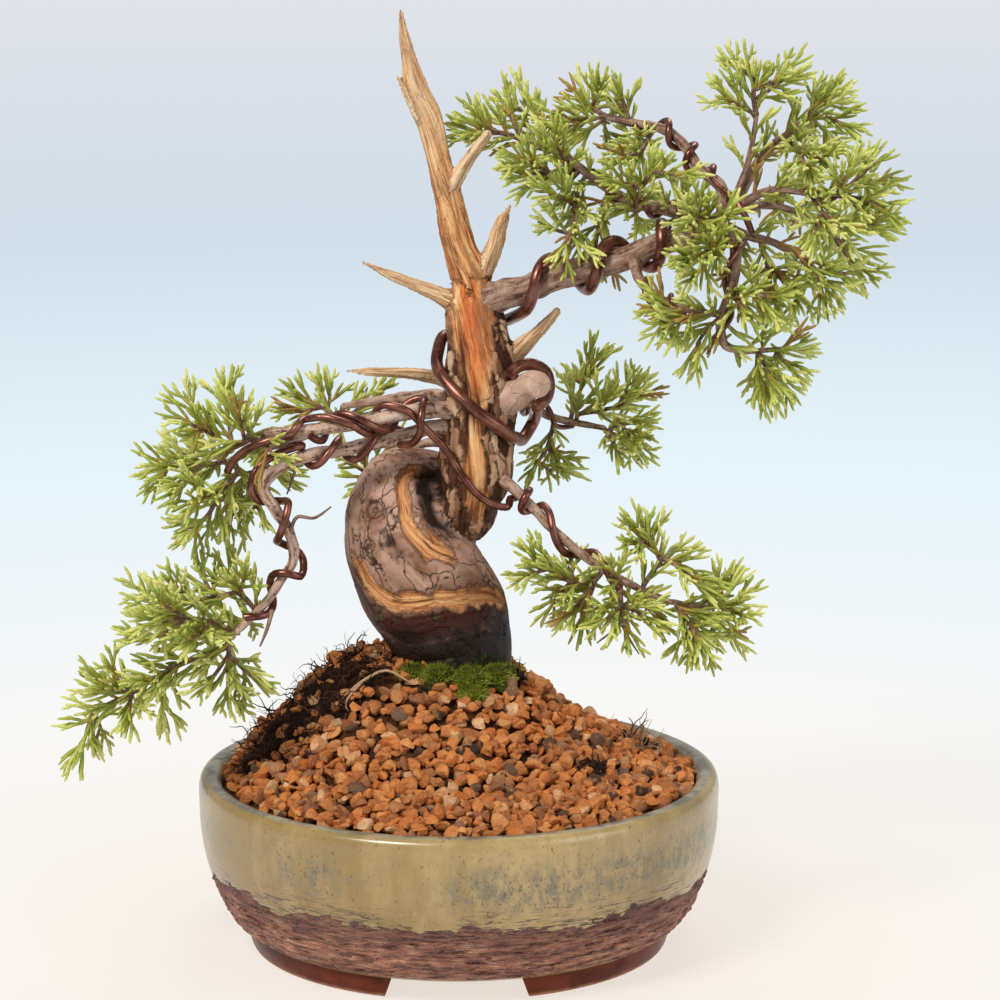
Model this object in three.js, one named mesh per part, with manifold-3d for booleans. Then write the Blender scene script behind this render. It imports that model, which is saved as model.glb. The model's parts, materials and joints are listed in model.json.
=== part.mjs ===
// A juniper bonsai, trained with wire, in a round stoneware pot on three feet.
// Millimetres, +Z up, +Y away from the side the tree is looked at from.
// Everything is laid out round the pot's axis; the last lines move the origin
// under the middle of the whole plant, because the tree leans out past its pot.
import * as THREE from "three";
import { mergeVertices } from "three/addons/utils/BufferGeometryUtils.js";
import Module from "manifold-3d";

const wasm = await Module();
wasm.setup();

// ---- Driving dimensions -------------------------------------------------
const POT_RADIUS = 85; // outside of the rim
const POT_HEIGHT = 57;
const POT_SIDES = 36; // facets round the pot
const WALL = 7.5; // thickness of the pot's wall at the rim
const ABOVE_SOIL = 120; // a height that clears the mound
const FOOT_HEIGHT = 7.2;
const FOOT_RADIUS = 68.5; // outside of the ring that the feet are cut from
const FOOT_WIDTH = 10;
const FOOT_COUNT = 3;
const FLOOR_TOP = 14; // upper face of the pot's floor
const DRAIN_RADIUS = 7;
const DRAIN_X = 26; // the two drainage holes stand this far from the axis
const SCREEN_SIDE = 20;
const SCREEN_THICKNESS = 1.2;
const SCREEN_HOLE = 4;
const CLEARANCE = 0.35; // gap kept between pieces that touch
const GRANULE_PITCH = 10; // the baked clay granules, drawn larger than life
const GRANULE_HEIGHT = 2.6;
const SHOOT_RADIUS = 0.85; // a scale-leaved shoot at its foot
const THICK_WIRE = 2.0; // radius of the 4 mm wire on trunk and crown
const MIDDLE_WIRE = 1.25; // radius of the wire on the left and lower right branches
const THIN_WIRE = 0.9; // radius of the wire on the light branches

// ---- Small helpers ------------------------------------------------------
const v3 = (x, y, z) => new THREE.Vector3(x, y, z);
const UP = v3(0, 0, 1);
const FRONT = v3(0, -1, 0);
const RIGHT = v3(1, 0, 0);
const mix = (a, b, t) => a + (b - a) * t;
const smooth = (t) => {
  const c = Math.min(1, Math.max(0, t));
  return c * c * (3 - 2 * c);
};

// A seeded random draw, so that the plant grows the same way every time.
function seeded(seed) {
  let state = seed >>> 0;
  return () => {
    state = (Math.imul(state, 1664525) + 1013904223) >>> 0;
    return state / 4294967296;
  };
}

// A closed geometry as a solid, and a solid as a geometry again.
function solidOf(geometry) {
  const bare = geometry.clone();
  bare.deleteAttribute("normal");
  bare.deleteAttribute("uv");
  const merged = mergeVertices(bare, 1e-4);
  return new wasm.Manifold(
    new wasm.Mesh({
      numProp: 3,
      vertProperties: merged.attributes.position.array,
      triVerts: new Uint32Array(merged.index.array),
    }),
  );
}

function geometryOf(solid) {
  const { numProp, vertProperties, triVerts } = solid.getMesh();
  const geometry = new THREE.BufferGeometry();
  const positions = new THREE.InterleavedBuffer(vertProperties, numProp);
  geometry.setAttribute(
    "position",
    new THREE.InterleavedBufferAttribute(positions, 3, 0),
  );
  geometry.setIndex(new THREE.BufferAttribute(triVerts, 1));
  const flat = geometry.toNonIndexed();
  flat.computeVertexNormals();
  return flat;
}

const joined = (solids) => solids.reduce((all, one) => all.add(one));
const FINEST = 0.12; // edges that a cut leaves shorter than this are drawn together

// Only the largest body of a solid: scraps that a cut leaves are dropped.
function largestBody(solid) {
  const bodies = solid.simplify(FINEST).decompose();
  return bodies.sort((a, b) => b.volume() - a.volume())[0];
}

// ---- Materials ----------------------------------------------------------
const finish = (color, roughness, metalness = 0) =>
  new THREE.MeshStandardMaterial({ color, roughness, metalness });
const GLAZE = finish(0x9a8f63, 0.35);
const CLAY = finish(0xb06a38, 0.9);
const ROOT_SOIL = finish(0x2c1c16, 0.95);
const MOSS = finish(0x4f7a20, 0.95);
const BARK = finish(0x7a5742, 0.85);
const LEAF = finish(0x6f9a38, 0.6);
const WIRE = finish(0x5a2620, 0.35, 0.8);
const MESH_PLASTIC = finish(0x20242a, 0.6);

const bonsai = new THREE.Group();
function place(name, solid, material) {
  const mesh = new THREE.Mesh(geometryOf(solid), material);
  mesh.name = name;
  bonsai.add(mesh);
  return mesh;
}

// ---- Pot ----------------------------------------------------------------
// Half outlines are listed as [radius, height] and turned round the Z axis.
function turned(profile, segments) {
  const points = profile.map(([radius, height]) => new THREE.Vector2(radius, height));
  return new THREE.LatheGeometry(points, segments).rotateX(Math.PI / 2);
}

const RIM = [
  [POT_RADIUS, POT_HEIGHT - 3],
  [POT_RADIUS - 2, POT_HEIGHT - 0.3],
  [POT_RADIUS - 4.5, POT_HEIGHT],
];
const POT_INSIDE = [
  [POT_RADIUS - WALL, POT_HEIGHT - 3.5],
  [POT_RADIUS - WALL, 36],
  [68, FLOOR_TOP],
];
const POT_OUTSIDE = [
  [FOOT_RADIUS + 1.7, FOOT_HEIGHT],
  [76.4, 13],
  [81, 23],
  [84.8, 40],
];

// The ring under the pot, with a sloped gap cut through it between the feet.
function feet() {
  const inner = FOOT_RADIUS - FOOT_WIDTH;
  const ring = solidOf(
    turned(
      [
        [inner, 0],
        [FOOT_RADIUS - 0.6, 0],
        [FOOT_RADIUS + 0.4, FOOT_HEIGHT + 0.5],
        [inner, FOOT_HEIGHT + 0.5],
        [inner, 0],
      ],
      POT_SIDES,
    ),
  );
  const gap = new THREE.Shape();
  gap.moveTo(-24.5, -1);
  gap.lineTo(24.5, -1);
  gap.lineTo(20, FOOT_HEIGHT);
  gap.lineTo(-20, FOOT_HEIGHT);
  const length = POT_RADIUS;
  const cutter = new THREE.ExtrudeGeometry(gap, { depth: length, bevelEnabled: false });
  cutter.rotateX(Math.PI / 2).translate(0, -inner / 2 + 4, 0);
  let cut = ring;
  for (let i = 0; i < FOOT_COUNT; i++) {
    const turn = (i / FOOT_COUNT) * 2 * Math.PI;
    cut = cut.subtract(solidOf(cutter.clone().rotateZ(turn)));
  }
  return cut;
}

function pot() {
  const profile = [[0, FOOT_HEIGHT], ...POT_OUTSIDE, ...RIM, ...POT_INSIDE, [0, FLOOR_TOP]];
  let body = solidOf(turned(profile, POT_SIDES)).add(feet());
  for (const x of [-DRAIN_X, DRAIN_X]) {
    const drain = new THREE.CylinderGeometry(DRAIN_RADIUS, DRAIN_RADIUS, FLOOR_TOP * 2, 12);
    drain.rotateX(Math.PI / 2).translate(x, 0, FLOOR_TOP);
    body = body.subtract(solidOf(drain));
  }
  return body;
}

// ---- Drainage screens ---------------------------------------------------
function screen(x) {
  const box = (w, d, h) => solidOf(new THREE.BoxGeometry(w, d, h));
  let plate = box(SCREEN_SIDE, SCREEN_SIDE, SCREEN_THICKNESS);
  for (const i of [-1, 1])
    for (const j of [-1, 1]) {
      const hole = box(SCREEN_HOLE, SCREEN_HOLE, 2 * SCREEN_THICKNESS);
      plate = plate.subtract(hole.translate([i * SCREEN_HOLE, j * SCREEN_HOLE, 0]));
    }
  return plate.translate([x, 0, FLOOR_TOP + CLEARANCE + SCREEN_THICKNESS / 2]);
}

// ---- Limbs: everything that a tapered, bent tube describes ---------------
// Points are [x, y, z, radius]. `sides` and `perSpan` set how finely it is cut,
// and `zero` is the direction from which angles round the limb are counted.
class Limb {
  constructor(points, { sides = 5, perSpan = 1, zero = FRONT, flutes = 0 } = {}) {
    this.curve = new THREE.CatmullRomCurve3(
      points.map(([x, y, z]) => v3(x, y, z)),
      false,
      "centripetal",
    );
    this.points = points;
    this.spans = points.length - 1;
    this.sides = sides;
    this.steps = this.spans * perSpan;
    this.zero = zero;
    this.flutes = flutes;
    this.stops = [];
    for (let k = 0; k <= this.steps; k++) {
      const at = k / perSpan;
      const i = Math.min(this.spans - 1, Math.floor(at));
      const radius = mix(points[i][3], points[i + 1][3], smooth(at - i));
      this.stops.push({ centre: this.curve.getPoint(at / this.spans), radius });
    }
  }
  // `at` counts the hand-chosen points: 2.5 is half way from the third to the fourth.
  // Between two rings the limb is straight, so its middle line and radius are too.
  stop(at) {
    const place = Math.min(this.steps, Math.max(0, (at / this.spans) * this.steps));
    const i = Math.min(this.steps - 1, Math.floor(place));
    return [this.stops[i], this.stops[i + 1], place - i];
  }
  centre(at) {
    const [near, far, t] = this.stop(at);
    return near.centre.clone().lerp(far.centre, t);
  }
  radius(at) {
    const [near, far, t] = this.stop(at);
    return mix(near.radius, far.radius, t);
  }
  frame(at) {
    const tangent = this.curve.getTangent(Math.min(1, Math.max(0, at / this.spans)));
    const zero = this.zero.clone().addScaledVector(tangent, -this.zero.dot(tangent));
    zero.normalize();
    return { tangent, zero, side: tangent.clone().cross(zero) };
  }
  // A point beside the limb: `angle` in degrees round it, `out` from its surface.
  beside(at, angle, out) {
    const { zero, side } = this.frame(at);
    const turn = THREE.MathUtils.degToRad(angle);
    const reach = this.radius(at) * (1 + this.flutes) + out;
    return this.centre(at)
      .addScaledVector(zero, Math.cos(turn) * reach)
      .addScaledVector(side, Math.sin(turn) * reach);
  }
  // A cylinder bent onto the curve: its height runs along it, its ring round it.
  solid() {
    const tube = new THREE.CylinderGeometry(1, 1, 1, this.sides, this.steps);
    const position = tube.attributes.position;
    const rings = [];
    let { zero } = this.frame(0);
    for (let k = 0; k <= this.steps; k++) {
      const at = (k / this.steps) * this.spans;
      const { tangent } = this.frame(at);
      zero = zero.clone().addScaledVector(tangent, -zero.dot(tangent)).normalize();
      const side = tangent.clone().cross(zero);
      rings.push({ centre: this.centre(at), zero, side, radius: this.radius(at) });
    }
    for (let i = 0; i < position.count; i++) {
      const ring = rings[Math.round((position.getY(i) + 0.5) * this.steps)];
      const [x, y] = [position.getX(i), position.getZ(i)];
      const angle = Math.atan2(y, x);
      const swell = 1 + this.flutes * Math.cos(3 * angle);
      const point = ring.centre
        .clone()
        .addScaledVector(ring.zero, x * ring.radius * swell)
        .addScaledVector(ring.side, -y * ring.radius * swell);
      position.setXYZ(i, point.x, point.y, point.z);
    }
    return solidOf(tube);
  }
  // The limb as a chain of short capsules, for keeping other pieces clear of it.
  capsules(owner) {
    const chain = [];
    for (let k = 0; k < this.steps; k++) {
      const [from, to] = [k, k + 1].map((s) => (s / this.steps) * this.spans);
      const radius = Math.max(this.radius(from), this.radius(to)) * (1 + this.flutes);
      chain.push({ a: this.centre(from), b: this.centre(to), radius, owner });
    }
    return chain;
  }
}

// ---- Keeping pieces clear of each other ----------------------------------
const taken = []; // capsules of everything placed so far

function segmentDistance(p, q) {
  // Closest distance between the segments p.a-p.b and q.a-q.b.
  const d1 = p.b.clone().sub(p.a);
  const d2 = q.b.clone().sub(q.a);
  const r = p.a.clone().sub(q.a);
  const [a, e, f] = [d1.lengthSq(), d2.lengthSq(), d2.dot(r)];
  const [b, c] = [d1.dot(d2), d1.dot(r)];
  const denominator = a * e - b * b;
  const clamp = (t) => Math.min(1, Math.max(0, t));
  let s = denominator > 1e-9 ? clamp((b * f - c * e) / denominator) : 0;
  let t = (b * s + f) / e;
  if (t < 0) [t, s] = [0, clamp(-c / a)];
  if (t > 1) [t, s] = [1, clamp((b - c) / a)];
  return p.a.clone().addScaledVector(d1, s).distanceTo(q.a.clone().addScaledVector(d2, t));
}

const isClear = (capsule, owner) =>
  taken.every(
    (other) =>
      other.owner === owner ||
      segmentDistance(capsule, other) > capsule.radius + other.radius + CLEARANCE,
  );

// ---- The tree ------------------------------------------------------------
const LIMBS = {
  // From the soil it leans left, folds over its own shoulder and climbs again.
  trunk: new Limb(
    [
      [-2, 9, 44, 15],
      [-3, 8, 66, 19],
      [-4, 6, 84, 19.6],
      [-3, 6, 98, 18.8],
      [-6, 4, 108, 20.6],
      [-12, 1, 119, 20.9],
      [-18, -1, 131, 18.1],
      [-20, 1, 140, 15.9],
      [-18, 6, 148, 13.6],
      [-11, 14, 149, 10.8],
      [-4, 17, 144, 10.4],
      [1, 9, 140, 10],
      [3, 2, 146, 10.7],
      [5, 0, 155, 12.4],
      [6, 0, 166, 11.9],
      [7, 0, 177, 11.9],
      [7, 0, 189, 11.4],
      [6, 0, 199, 9.9],
      [5, 1, 209, 9],
      [4, 2, 218, 6.6],
    ],
    { sides: 12, perSpan: 2, flutes: 0.05 },
  ),
  spire: new Limb(
    [
      [5, 1, 207, 6.4],
      [4, 2, 218, 6.2],
      [0, 3, 230, 5.1],
      [-3, 3, 245, 4.1],
      [-6, 3, 256, 3.4],
      [-9, 2, 269, 3.8],
      [-13, 1, 279, 3.4],
      [-16, 0, 292, 2],
      [-18, -1, 303, 0.9],
    ],
    { sides: 8 },
  ),
  // Bare deadwood stubs.
  jin_fork: new Limb([[-2, 3, 247, 2.7], [4, 0, 257, 2.1], [10, -3, 265, 1.5]]),
  jin_shard: new Limb([[7, 3, 218, 3.6], [12, 2, 229, 3], [14, 1, 236, 2.1], [17, 0, 242, 0.4]]),
  jin_tip: new Limb([[-12, 2, 268, 1.6], [-16, 0, 276, 1.1], [-19, -1, 283, 0.5]]),
  jin_left: new Limb([[0, 0, 210, 3.8], [-9, -4, 215, 2.4], [-18, -8, 219, 1.8], [-30, -12, 225, 0.5]]),
  jin_lower: new Limb([
    [0, 2, 184, 3.6],
    [-7, 2, 186, 2.3],
    [-16, -5, 188.5, 1.8],
    [-26, -12, 190, 1.4],
    [-36, -16, 191, 0.4],
  ]),
  jin_right: new Limb([[12, 2, 188, 4.6], [20, 0, 196, 3.2], [26, -3, 202, 2], [32, -5, 209, 1.3]]),
  cut_stub: new Limb([[12, -2, 178, 5.6], [19, -8, 182, 4.8], [23, -13, 186, 4.6], [26, -19, 187, 4.2]], {
    sides: 8,
    zero: UP,
  }),
  // Live branches.
  crown: new Limb(
    [
      [6, 1, 211, 5.8],
      [20, -4, 215, 4.5],
      [33, -7, 220, 4.1],
      [53, -9, 226, 3.9],
      [63, -8, 230, 3.7],
      [77, -5, 234, 3.2],
      [88, -2, 241, 2.2],
    ],
    { sides: 7 },
  ),
  crown_arch: new Limb([
    [84, -2, 238, 2],
    [84, 2, 247, 1.9],
    [77, 9, 253, 1.8],
    [73, 14, 259, 1.6],
    [67, 18, 264, 1.6],
    [57, 21, 266, 1.4],
    [48, 22, 268, 1],
  ]),
  crown_left: new Limb([
    [79, -4, 234, 2.4],
    [73, 4, 238, 2],
    [65, 6, 240, 1.9],
    [56, 7, 242, 1.7],
    [47, 8, 247, 1.5],
    [36, 10, 255, 1.3],
    [29, 11, 259, 1.1],
    [20, 12, 262, 0.9],
  ]),
  crown_up: new Limb([[86, -3, 240, 1.3], [92, 2, 254, 1], [94, 4, 263, 0.8], [95, 5, 270, 0.7]]),
  crown_high: new Limb([[87, -2, 241, 2], [98, 10, 257, 1.5], [107, 16, 264, 1.1], [113, 19, 268, 0.8]]),
  crown_right: new Limb([[87, -2, 240, 1.7], [98, -7, 247, 1.2], [108, -11, 247, 0.9], [118, -13, 245, 0.8]]),
  crown_rear: new Limb([[87, 0, 240, 1.7], [100, 17, 240, 1.3], [113, 27, 236, 1], [123, 33, 232, 0.8]]),
  crown_low: new Limb([[82, -3, 237, 2], [92, 2, 232, 1.5], [101, 8, 229, 1.2], [110, 12, 224, 0.9]]),
  crown_front: new Limb(
    [
      [82, -4, 237, 2.4],
      [87, -16, 233, 1.9],
      [86, -28, 221, 1.7],
      [82, -33, 208, 1.5],
      [84, -30, 201, 1.3],
      [91, -28, 199, 1],
    ],
    { zero: RIGHT },
  ),
  crown_back: new Limb([[80, 0, 236, 2.2], [77, 18, 238, 1.6], [75, 32, 239, 1.3], [73, 44, 240, 0.9]]),
  crown_under: new Limb(
    [
      [56, -8, 227, 2.4],
      [57, -17, 221, 1.6],
      [62, -24, 216, 1.4],
      [67, -28, 214, 1.2],
      [73, -31, 213, 0.9],
    ],
    { zero: UP },
  ),
  left_upper: new Limb(
    [
      [2, -2, 176, 3.6],
      [-8, -8, 177, 2.6],
      [-18, -14, 177, 2.5],
      [-28, -18, 175, 2.3],
      [-39, -21, 174, 2.2],
      [-47, -23, 173, 2.1],
      [-55, -25, 173, 1.6],
      [-61, -26, 173, 1],
    ],
    { sides: 6 },
  ),
  left_pad: new Limb([[-46, -23, 173, 1.9], [-54, -20, 169, 1.5], [-64, -18, 166, 1.3], [-73, -17, 162, 1]]),
  left_cascade: new Limb([
    [1, -2, 170, 3.4],
    [-8, -5, 171, 2.5],
    [-18, -8, 168.5, 2.4],
    [-27, -11, 167, 2.3],
    [-36, -15, 165.5, 2.2],
    [-45, -20, 165, 2.1],
    [-52, -24, 163.5, 2.1],
    [-58, -27, 160.5, 2],
    [-61, -29, 156, 2],
    [-58, -30, 150, 1.9],
    [-54, -30, 144, 1.8],
    [-52, -29, 138, 1.7],
    [-52, -28, 132, 1.5],
    [-56, -30, 126, 1.4],
    [-60, -32, 120, 1.3],
    [-66, -34, 114, 1.2],
    [-72, -36, 109, 1],
  ]),
  rear_left: new Limb([
    [0, 4, 179, 2.8],
    [-8, 16, 178, 2.1],
    [-16, 25, 176, 1.9],
    [-28, 35, 173, 1.6],
    [-39, 43, 170, 1.1],
  ]),
  rear_low: new Limb([[3, 6, 163, 2.2], [-7, 19, 162, 1.6], [-15, 29, 159, 1.4], [-29, 41, 152, 0.9]]),
  rear_right: new Limb([
    [11, 6, 177, 2.6],
    [20, 17, 175, 1.9],
    [25, 26, 172, 1.5],
    [31, 32, 168, 1.3],
    [48, 41, 163, 0.9],
  ]),
  lower_right: new Limb([
    [7, -2, 157, 3],
    [15, -8, 154, 2],
    [22, -11, 148, 1.6],
    [32, -15, 138, 1.5],
    [44, -19, 129, 1.4],
    [51, -20, 125, 1.3],
    [59, -21, 121, 1.1],
    [68, -20, 117, 0.9],
  ]),
};

const LIVE_AND_DEAD_WOOD = Object.values(LIMBS);
for (const limb of LIVE_AND_DEAD_WOOD) taken.push(...limb.capsules("tree"));
const tree = () => largestBody(joined(LIVE_AND_DEAD_WOOD.map((limb) => limb.solid())));

// ---- Training wires ------------------------------------------------------
const WIRE_GAP = 0.6; // from the bark to the wire, so that the facets stay clear
const WIRE_SAG = 0.3; // how far a straight stretch of wire may cut across its bend

// Points beside a limb, from one [place, angle] to the next, close enough
// together that the straight stretches between them stay off the bark. A
// third number lets the wire stand away from the bark in a loose turn.
function wound(limb, radius, ...stations) {
  const points = [];
  for (let i = 0; i + 1 < stations.length; i++) {
    const [[at0, angle0, loose0 = 0], [at1, angle1, loose1 = 0]] = [stations[i], stations[i + 1]];
    const reach = Math.max(limb.radius(at0), limb.radius(at1)) + radius + WIRE_GAP;
    const step = THREE.MathUtils.radToDeg(2 * Math.acos(1 - WIRE_SAG / reach));
    const count = Math.max(1, Math.ceil(Math.abs(angle1 - angle0) / step));
    for (let k = i ? 1 : 0; k <= count; k++) {
      const t = k / count;
      const out = radius + WIRE_GAP + mix(loose0, loose1, t);
      points.push(limb.beside(mix(at0, at1, t), mix(angle0, angle1, t), out));
    }
  }
  return points.map((p) => [p.x, p.y, p.z]);
}

const wires = [];
function wire(name, radius, points, sides = 5) {
  const run = new Limb(points.map((p) => [...p, radius]), { sides, perSpan: 1, zero: UP });
  taken.push(...run.capsules(name));
  wires.push([name, run]);
}

wire("wire_trunk_crown", THICK_WIRE, [
  ...wound(LIMBS.cut_stub, THICK_WIRE, [1.8, 50], [2.1, -60], [1.9, -165]),
  [25, -5, 176],
  [24, 1, 171.5],
  ...wound(LIMBS.trunk, THICK_WIRE, [14.2, 75], [14.4, 44], [15, 0], [16, -60], [17.1, -120], [17.5, -245]),
  ...wound(
    LIMBS.crown,
    THICK_WIRE,
    ...[[1.05, 60], [1.45, 0], [1.85, -90], [2.1, -180], [2.4, -300], [2.55, -350]],
    ...[[2.75, -430], [3.2, -540], [3.8, -660], [4.05, -720], [4.3, -850], [4.7, -960]],
  ),
]);
wire("wire_cross", MIDDLE_WIRE, [
  ...[[-72.6, -25, 160], [-71, -26, 163.3], [-66.5, -28.5, 167.8], [-60.5, -30.5, 170.6], [-56.5, -30, 171.8]],
  ...wound(
    LIMBS.left_upper,
    MIDDLE_WIRE,
    ...[[5.7, 0], [5.2, 90], [4.5, 90], [3.5, 0], [2.95, -90], [2.75, -180], [2.5, -270], [1.85, -360]],
  ),
  [-9, -15, 171],
  [-5, -15, 167],
  ...wound(LIMBS.trunk, MIDDLE_WIRE, [13.4, -25], [12.8, 5]),
  [11, -13.5, 147.5],
  [16, -12.5, 146.5],
  ...wound(
    LIMBS.lower_right,
    MIDDLE_WIRE,
    ...[[1.55, 100], [1.75, 200], [1.9, 330], [2.1, 450], [2.3, 600], [2.8, 700]],
    ...[[3.3, 790], [3.6, 900], [3.9, 1000], [5.2, 1150]],
  ),
], 4);
wire("wire_left_upper", MIDDLE_WIRE, [
  ...wound(
    LIMBS.left_upper,
    MIDDLE_WIRE,
    ...[[5, -20], [4.5, -90], [3.75, -270], [3.1, -360], [2.4, -450], [1.3, -630]],
  ),
  [-11, -15.5, 180.6],
  [-11.5, -19.5, 177],
  [-11.9, -19.5, 171.7],
  [-14.4, -17.5, 168],
  [-18.5, -14, 167],
], 4);
wire("wire_left_cascade", MIDDLE_WIRE, [
  ...wound(
    LIMBS.left_cascade,
    MIDDLE_WIRE,
    ...[[1.8, 170], [2.55, 90], [3.25, 0], [3.8, -90], [3.95, -180], [4.15, -270], [4.75, -360]],
    ...[[5.2, -450], [5.3, -540], [5.45, -630], [6.4, -630, 0.4], [7.4, -630, 0.8]],
  ),
  ...wound(
    LIMBS.left_cascade,
    MIDDLE_WIRE,
    ...[[8, 90, 0.3], [8.5, 120], [9, 220, 0.6], [9.3, 290, 1.6], [9.9, 370, 0.6], [10.6, 440, 1.4], [11.3, 500, 0.4]],
    ...[[12, 610, 0.6], [12.4, 660, 1.8], [12.7, 730, 0.8], [13.1, 820], [14, 960], [15, 1120]],
  ),
], 4);
wire("wire_arch", THIN_WIRE + 0.2, [
  [93, -10, 234],
  [91, -10, 239],
  [88, -7, 244],
  ...wound(LIMBS.crown_arch, THIN_WIRE + 0.2, [1.3, 0], [5, 1080]),
], 4);
wire("wire_crown_left", THIN_WIRE, wound(LIMBS.crown_left, THIN_WIRE, [1.2, 0], [5.6, 1170]), 4);
wire("wire_crown_under", THIN_WIRE, wound(LIMBS.crown_under, THIN_WIRE, [1.4, 0], [3.7, 560]), 4);
wire("wire_crown_front", THIN_WIRE, wound(LIMBS.crown_front, THIN_WIRE, [1.1, 0], [3.8, 600]), 4);
wire("wire_rear_right", THIN_WIRE, wound(LIMBS.rear_right, THIN_WIRE, [1, 0], [3.5, 500]), 4);

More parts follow.
